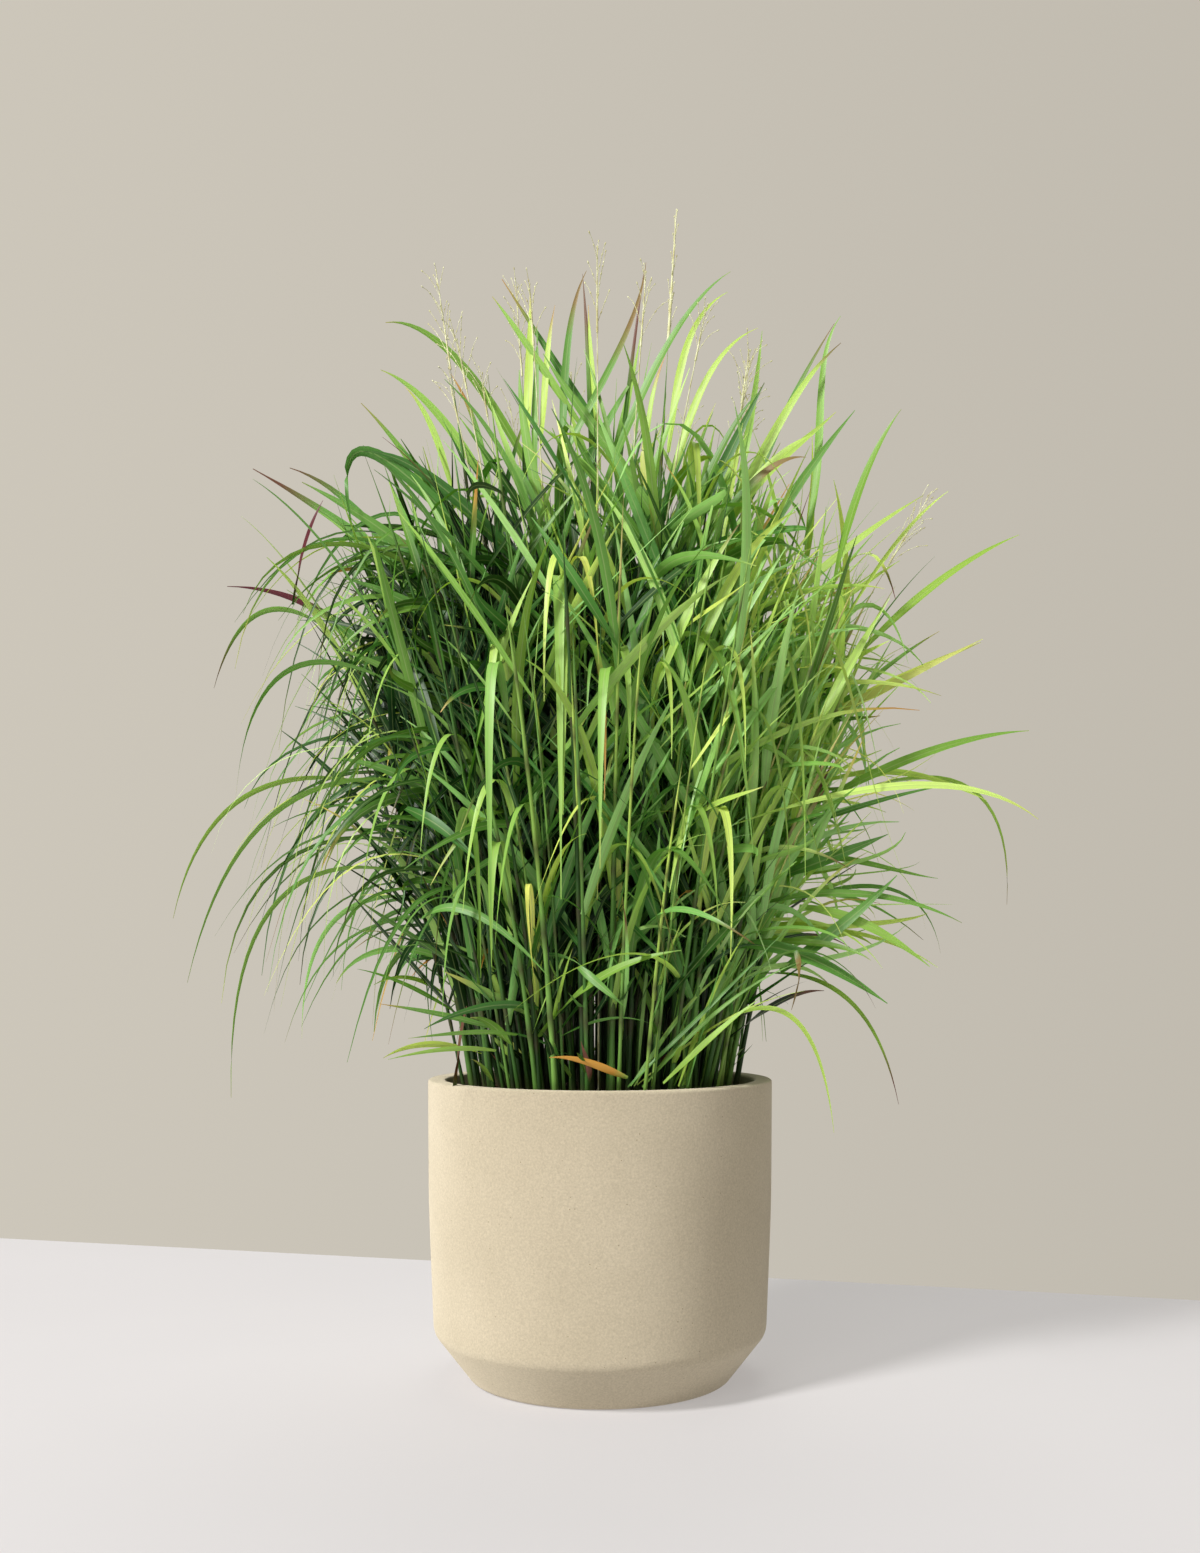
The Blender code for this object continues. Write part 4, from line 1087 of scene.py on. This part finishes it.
# The same for blades that lie across the others with their flat side to the front: at the foot on the left,
# down the right side, the long ones that cross one another at the top, and broad ones at the left.
FLAT_LEAVES = [
    ((-80, -130, 345), (-110, -160, 352), (-140, -170, 348), (-178, -180, 344), 5, 0.52, 0.1, 0),
    ((-100, -130, 330), (-130, -150, 336), (-160, -160, 333), (-198, -170, 324), 5, 0.66, 0, 0),
    ((-100, -120, 350), (-135, -130, 362), (-165, -140, 368), (-210, -150, 375), 6, 0.46, 0.2, 0.3),
    ((-60, -130, 370), (-90, -150, 380), (-130, -160, 372), (-165, -165, 352), 8, 0.26, 0, 0),
    ((-185, -170, 560), (-160, -180, 550), (-140, -190, 535), (-112, -200, 505), 12, 0.26, 0, 0),
    ((-170, -160, 455), (-140, -180, 480), (-100, -200, 460), (-48, -210, 402), 9, 0.4, 0, 0),
    ((-20, -180, 410), (-8, -190, 400), (6, -200, 388), (22, -200, 374), 8, 0.42, 0, 0),
    ((60, -140, 300), (90, -150, 330), (120, -160, 360), (150, -165, 380), 7, 0.67, 0, 0),
    ((220, -30, 665), (270, -30, 685), (330, -50, 715), (398, -60, 748), 10, 0.98, 1, 0),
    ((200, -50, 700), (235, -60, 712), (265, -70, 728), (297, -80, 742), 12, 0.82, 0, 0),
    ((220, -20, 660), (270, -20, 695), (310, -30, 735), (360, -30, 763), 7, 0.54, 0.2, 0.1),
    ((200, -20, 760), (240, -20, 785), (280, -30, 815), (320, -30, 840), 8, 0.79, 0, 0),
    ((150, -40, 740), (210, -50, 810), (270, -60, 860), (340, -60, 902), 11, 0.76, 0.1, 0.5),
    ((180, -80, 500), (220, -90, 515), (250, -100, 525), (285, -110, 540), 14, 0.38, 0, 0),
    ((180, -60, 545), (230, -70, 560), (290, -80, 583), (350, -80, 592), 7, 0.36, 0, 0),
    ((180, -60, 520), (240, -70, 530), (290, -80, 505), (340, -80, 498), 8, 0.52, 0, 0),
    ((170, -80, 475), (230, -90, 490), (300, -100, 485), (358, -100, 453), 8, 0.48, 0.1, 0.5),
    ((200, -80, 470), (250, -90, 465), (290, -100, 440), (325, -100, 410), 11, 0.64, 0, 0),
    ((180, -80, 405), (220, -90, 435), (260, -100, 465), (295, -100, 500), 13, 0.41, 0, 0),
    ((130, -100, 430), (180, -120, 440), (235, -130, 405), (275, -140, 375), 14, 0.38, 0, 0),
    ((230, -40, 600), (300, -40, 625), (350, -50, 605), (400, -50, 580), 8, 0.78, 0, 0),
    ((80, 10, 850), (30, 10, 950), (-45, 10, 1070), (-110, 10, 1175), 12, 0.34, 0.2, 0.35),
    ((55, -20, 900), (15, -20, 965), (-30, -20, 1020), (-62, -20, 1075), 13, 0.5, 0, 0),
    ((70, 0, 900), (90, 0, 990), (115, 0, 1090), (175, 0, 1113), 10, 0.77, 0.1, 0.1),
    ((-42, 0, 950), (-40, 0, 1040), (-40, 0, 1130), (-15, 0, 1180), 9, 0.41, 0.4, 0.5),
    ((-55, -10, 930), (-10, -10, 1030), (45, -10, 1110), (51, -10, 1185), 8, 0.46, 0.5, 0.5),
    ((0, 0, 950), (-4, 0, 1030), (-12, 0, 1090), (-13, 0, 1140), 7, 0.77, 0.2, 0.35),
    ((220, -20, 860), (250, -20, 970), (228, -20, 1070), (264, -20, 1118), 9, 0.58, 0, 0),
    ((110, -30, 840), (165, -30, 930), (205, -30, 1035), (262, -30, 1083), 12, 0.75, 0.2, 0.8),
    ((85, -50, 840), (115, -50, 905), (145, -50, 970), (176, -50, 1030), 14, 0.26, 0.1, 0.8),
    ((150, -40, 820), (190, -40, 890), (230, -40, 950), (274, -40, 1003), 11, 0.42, 0, 0),
    ((120, -70, 865), (155, -80, 905), (185, -90, 945), (222, -90, 958), 13, 0.76, 0, 0),
    ((110, -80, 855), (145, -90, 890), (175, -100, 935), (212, -100, 930), 11, 0.46, 0.6, 0.5),
    ((-60, -70, 800), (-120, -80, 865), (-185, -90, 940), (-245, -90, 940), 15, 0.26, 0, 0),
    ((-80, -70, 790), (-200, -80, 930), (-295, -90, 1020), (-252, -90, 845), 14, 0.34, 0, 0),
    ((-55, -60, 850), (-72, -60, 930), (-85, -60, 990), (-86, -60, 1040), 12, 0.56, 0, 0),
    ((-70, 0, 950), (-75, 0, 1010), (-68, 0, 1060), (-70, 0, 1115), 8, 0.48, 0, 0),
    ((50, -80, 900), (46, -80, 920), (44, -80, 935), (45, -80, 955), 9, 0.98, 1, 0),
    ((130, -50, 860), (138, -50, 910), (146, -50, 950), (152, -50, 985), 6, 0.82, 0, 0),
    ((85, -90, 820), (55, -90, 870), (30, -90, 920), (-4, -90, 958), 12, 0.52, 0, 0),
    ((45, -100, 835), (15, -100, 885), (-15, -100, 925), (-52, -100, 958), 11, 0.6, 0, 0),
    ((-120, -50, 820), (-155, -50, 880), (-180, -50, 930), (-215, -50, 960), 12, 0.32, 0, 0),
    ((50, 0, 960), (52, 0, 1010), (58, 0, 1050), (73, 0, 1082), 6, 0.76, 0.4, 0.35),
    ((-120, 0, 930), (-130, 0, 990), (-145, 0, 1030), (-165, 0, 1060), 6, 0.52, 0.5, 0.35),
    ((-140, -60, 780), (-180, -70, 830), (-240, -80, 875), (-310, -80, 910), 14, 0.44, 0.1, 0.5),
    ((-115, -90, 705), (-150, -100, 755), (-200, -110, 785), (-260, -110, 800), 14, 0.4, 0, 0),
    ((-130, -90, 615), (-160, -110, 675), (-205, -120, 710), (-265, -120, 725), 12, 0.5, 0, 0),
    ((-120, -90, 545), (-160, -110, 585), (-210, -120, 610), (-265, -120, 615), 12, 0.42, 0, 0),
]
# The same for the dead ones: orange on the soil, red-brown at the left of the rim and high on the left.
DEAD_LEAVES = [
    ((26, -150, 306), (5, -154, 314), (-20, -156, 328), (-48, -156, 325), 7.5, 0.7, 1, 0.27),
    ((-10, -150, 300), (-8, -153, 315), (-14, -155, 325), (-18, -155, 340), 6, 0.2, 1, 0.85),
    ((-142, -100, 290), (-140, -105, 320), (-136, -110, 350), (-130, -112, 372), 12, 0.2, 1, 0.8),
    ((-312, -100, 775), (-306, -110, 810), (-298, -120, 845), (-280, -120, 878), 9, 0.2, 1, 1),
    ((185, -160, 425), (190, -170, 410), (186, -180, 395), (178, -180, 370), 7, 0.3, 1, 0.5),
]
# The same for the light and brown-tipped blades that stand up at the top.
TOP_LEAVES = [
    ((-80, 0, 980), (-80, 0, 1060), (-76, 0, 1100), (-78, 0, 1150), 10, 0.81, 0.2, 0.1),
    ((-65, 0, 980), (-60, 0, 1050), (-60, 0, 1090), (-50, 0, 1140), 8, 0.8, 0.3, 0.4),
    ((75, 0, 970), (85, 0, 1060), (95, 0, 1130), (142, 0, 1155), 9, 0.78, 0, 0),
    ((-20, 0, 1000), (-60, 0, 1060), (-90, 0, 1110), (-120, 0, 1150), 9, 0.62, 0.1, 0.3),
    ((150, 0, 920), (165, 0, 1000), (172, 0, 1040), (180, 0, 1110), 8, 0.64, 0, 0),
    ((140, -30, 880), (180, -30, 950), (220, -30, 970), (255, -30, 1005), 9, 0.75, 0.1, 0.1),
    ((-160, 0, 920), (-175, 0, 980), (-190, 0, 1020), (-215, 0, 1045), 8, 0.72, 0.2, 0.1),
]


def outer_blade(row, twist, *twist_range):
    """The guide of a blade from a row of these tables; the lighter it is, the yellower."""
    *places, width, tone, dry, rust = row
    points = bent(*[in_metres(place) for place in places])
    tint = 0.85 * tone - 0.1
    return leaf_strand(points, in_metres(width), twist, tone, dry, rust, *twist_range, tint=tint)


strands = [outer_blade(row, grower.uniform(-12, 12)) for row in FRONT_LEAVES]
for row in TOP_LEAVES + FLAT_LEAVES + DEAD_LEAVES:
    strands.append(outer_blade(row, grower.uniform(60, 85), 0.4, 0.6))
for lean in np.linspace(0, 50, YOUNG_LEAVES):
    foot = np.array([grower.uniform(0.02, 0.10), grower.uniform(-0.135, -0.10), YOUNG_FOOT_HEIGHT])
    slant = math.radians(lean)
    heading = unit(np.array([math.sin(slant), grower.uniform(-0.16, 0.0), math.cos(slant)]))
    length = grower.uniform(0.07, 0.22)
    droop = grower.uniform(-0.2, 0.7)
    points = drooping(foot, heading, length, droop, grower.uniform(-0.4, 0.4))
    width = grower.uniform(0.0025, 0.0048)
    strands.append(leaf_strand(points, width, YOUNG_TWIST, grower.uniform(0.35, 0.80), 0.0, 0.0, 0.4, 0.6))
finish_leaves("outer_leaves", strands)


# Seed heads.
# Some stems end in a loose open head: a thin stalk with rising hair-thin branches that carry tiny husks.
# They are straw and pale green, and they rise above the leaves.
HEAD_LENGTHS = {
    "flower_stem_01": 0.157,
    "flower_stem_02": 0.120,
    "flower_stem_03": 0.120,
    "flower_stem_04": 0.120,
    "flower_stem_05": 0.110,
}
HUSK_LENGTH = 0.0036
HUSK_SPACING = 0.010
HUSK_SHAPE = (0.42, 0.42, 1.0)
STALK_SIDES = 5
STALK_RINGS = 8
STALK_SINKING = 0.004
BRANCH_RADIUS = 0.00028
BRANCH_REACH = 0.040
BRANCH_RINGS = 7
HEAD_BRANCHES = 16
SMALL_HEADS = 14
SMALL_HEAD_BRANCHES = 8


def seed_material():
    material, tree, shader = new_material("seed_head")
    husks = ramped(
        tree,
        noise(tree, object_place(tree), 90.0, 2.0),
        (0.30, (0.450, 0.400, 0.170)),
        (0.50, (0.640, 0.640, 0.340)),
        (0.70, (0.800, 0.800, 0.560)),
    )
    feed(tree, shader, Base_Color=husks, Roughness=0.6)
    return material


def seed_head_tree():
    """Stalks swept along their guides, with husks set along every branch."""
    tree, given, out = new_tree("seed_heads", {"Husk Length": HUSK_LENGTH, "Husk Spacing": HUSK_SPACING})
    guides = given.outputs["Geometry"]
    stalks = swept(tree, guides, round_profile(tree, STALK_SIDES, 1.0), "radius")
    lines = made(tree, "GeometryNodeMeshToCurve", Mesh=guides)
    spaced = tree.nodes.new("GeometryNodeResampleCurve")
    spaced.mode = "LENGTH"
    feed(tree, spaced, Curve=lines.outputs["Curve"], Length=given.outputs["Husk Spacing"])
    tangent = tree.nodes.new("GeometryNodeInputTangent")
    aim = made(tree, "FunctionNodeAlignRotationToVector", Vector=tangent.outputs["Tangent"])
    size = given.outputs["Husk Length"]
    husks = set_on_points(tree, spaced.outputs["Curve"], aim.outputs["Rotation"], HUSK_SHAPE, size)
    feed(tree, husks, Selection=maths(tree, "GREATER_THAN", named(tree, "husks"), 0.5))
    finish_tree(tree, given, out, joined(tree, stalks, husks.outputs["Instances"]))
    return tree


def stalk_strand(points, radius, husks):
    return {"points": points, "radius": radius, "twist": 0.0, "husks": husks}


def seed_head(path, length, branches, spread):
    """Guides of one head: its stalk, and branches that shorten towards the top and nod at their ends."""
    top = path[-1]
    upward = direction_at(path, 1.0)
    shares = np.linspace(0.0, 1.0, STALK_RINGS)
    stalk = np.array([top + upward * (length * share - STALK_SINKING) for share in shares])
    guides = [stalk_strand(stalk, np.linspace(0.0012, 0.0003, STALK_RINGS) / math.sqrt(spread), shares ** 2)]
    for i in range(branches):
        share = 0.06 + 0.86 * i / branches
        outward = outwards(GOLDEN_ANGLE * i + grower.uniform(-20, 20))
        reach = BRANCH_REACH * (1.0 - 0.6 * share) * grower.uniform(0.5, 1.0) * math.sqrt(spread)
        direction = unit(outward * 0.36 * spread + upward)
        foot = top + upward * (length * share)
        points = drooping(foot, direction, reach * 1.6, grower.uniform(0.1, 0.9), 0.0, BRANCH_RINGS)
        guides.append(stalk_strand(points, BRANCH_RADIUS, np.linspace(0.0, 1.0, BRANCH_RINGS) * 2))
    return guides


strands = []
for name, length in HEAD_LENGTHS.items():
    strands += seed_head(stem_paths[name], length, HEAD_BRANCHES, 0.35 if name == "flower_stem_01" else 1.0)
for azimuth, length in zip(np.linspace(20, 380, SMALL_HEADS), grower.uniform(0.69, 0.78, SMALL_HEADS)):
    path = stem_path(grower.uniform(0.02, 0.09), azimuth, length, 3.0, grower.uniform(6, 17))
    strands.append(stalk_strand(path, np.linspace(0.0014, 0.0006, len(path)), 0.0))
    strands += seed_head(path, grower.uniform(0.05, 0.10), SMALL_HEAD_BRANCHES, 1.0)
seed_heads = grow(guide_object("seed_heads", strands), seed_head_tree(), seed_material())
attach(seed_heads, "root")


# Stage.
# A pale floor whose far edge runs slightly askew, and a plain beige backdrop all round. The floor also glows
# faintly of itself as painted light, which lifts its shadows. One lamp lights it from the left, a broad one
# fills in from the front, and a third glows through the leaves from behind.
FLOOR_BACK_LEFT = np.array([-0.913, 0.768])
FLOOR_BACK_RIGHT = np.array([0.744, 0.337])
FLOOR_SPREAD = 6.0
FLOOR_FRONT = -7.0
FLOOR_DEPTH = -0.0004
LAMP_DISTANCE = 8.0
AIM_HEIGHT = 0.5
# The camera's height, tilt and lens are fitted to the rim's ellipse and to the planter's size in the frame.
CAMERA_PLACE = (0.0, -1.5993, 0.4103)
CAMERA_TILT = 97.17
CAMERA_LENS = 34.98
SENSOR_HEIGHT = 36.0


def floor_material():
    material, tree, shader = new_material("pale_floor")
    cloud = noise(tree, object_place(tree), 3.0, 2.0)
    tones = ramped(tree, cloud, (0.3, (0.400, 0.390, 0.400)), (0.7, (0.410, 0.400, 0.410)))
    feed(tree, shader, Base_Color=tones, Roughness=0.7, Specular_IOR_Level=0.2)
    # Painted light: the floor glows faintly of itself, which lightens the shadows on it and lights the
    # planter from below.
    feed(tree, shader, Emission_Color=(1.0, 0.97, 0.97), Emission_Strength=0.32)
    return material


edge = unit(FLOOR_BACK_RIGHT - FLOOR_BACK_LEFT)
left, left_back = FLOOR_BACK_LEFT - edge * FLOOR_SPREAD
right, right_back = FLOOR_BACK_RIGHT + edge * FLOOR_SPREAD
floor_mesh = bpy.data.meshes.new("floor")
floor_corners = [(left, left_back), (left, FLOOR_FRONT), (right, FLOOR_FRONT), (right, right_back)]
floor_mesh.from_pydata([(float(x), float(y), FLOOR_DEPTH) for x, y in floor_corners], [], [(0, 1, 2, 3)])
floor_mesh.materials.append(floor_material())
floor = new_object("floor", floor_mesh)

world = bpy.data.worlds.new("backdrop")
bpy.context.scene.world = world
world.use_nodes = True
sky = world.node_tree
view = made(sky, "ShaderNodeSeparateXYZ", Vector=sky.nodes.new("ShaderNodeTexCoord").outputs["Generated"])
shade = ramped(sky, view.outputs["Z"], (0.62, (0.571, 0.533, 0.462)), (0.80, (0.10, 0.10, 0.09)))
room = ramped(sky, view.outputs["Y"], (0.30, (0.62, 0.62, 0.62)), (0.72, WHITE))
sideways = maths(sky, "MULTIPLY_ADD", view.outputs["X"], 0.5, 0.5)
sides = ramped(sky, sideways, (0.3, (1.07, 1.07, 1.07)), (0.7, (0.93, 0.93, 0.93)))
graded = mixed(sky, "MULTIPLY", 1.0, mixed(sky, "MULTIPLY", 1.0, shade, room), sides)
feed(sky, sky.nodes["Background"], Color=graded, Strength=1.0)


def area_light(name, azimuth, elevation, size, watts, colour):
    """A soft light aimed at the middle of the object from that compass angle and height angle."""
    data = bpy.data.lights.new(name, "AREA")
    data.shape = "DISK"
    data.size = size
    data.energy = watts
    data.color = colour
    light = new_object(name, data)
    rise = math.radians(elevation)
    toward = outwards(azimuth) * math.cos(rise) + upwards(math.sin(rise))
    light.location = toward * LAMP_DISTANCE + upwards(AIM_HEIGHT)
    light.rotation_euler = (math.radians(90 - elevation), 0.0, math.radians(azimuth + 90))


area_light("key", 221, 38, 1.5, 680, (1.0, 0.988, 0.965))
area_light("front", 246, 28, 4.0, 110, (1.0, 0.988, 0.965))
area_light("glow", 80, 60, 5.0, 150, (1.0, 0.98, 0.92))

camera_data = bpy.data.cameras.new("camera")
camera_data.sensor_fit = "VERTICAL"
camera_data.sensor_height = SENSOR_HEIGHT
camera_data.lens = CAMERA_LENS
camera = new_object("camera", camera_data)
camera.location = CAMERA_PLACE
camera.rotation_euler = (math.radians(CAMERA_TILT), 0.0, 0.0)
bpy.context.scene.camera = camera
bpy.context.scene.view_settings.view_transform = "Standard"
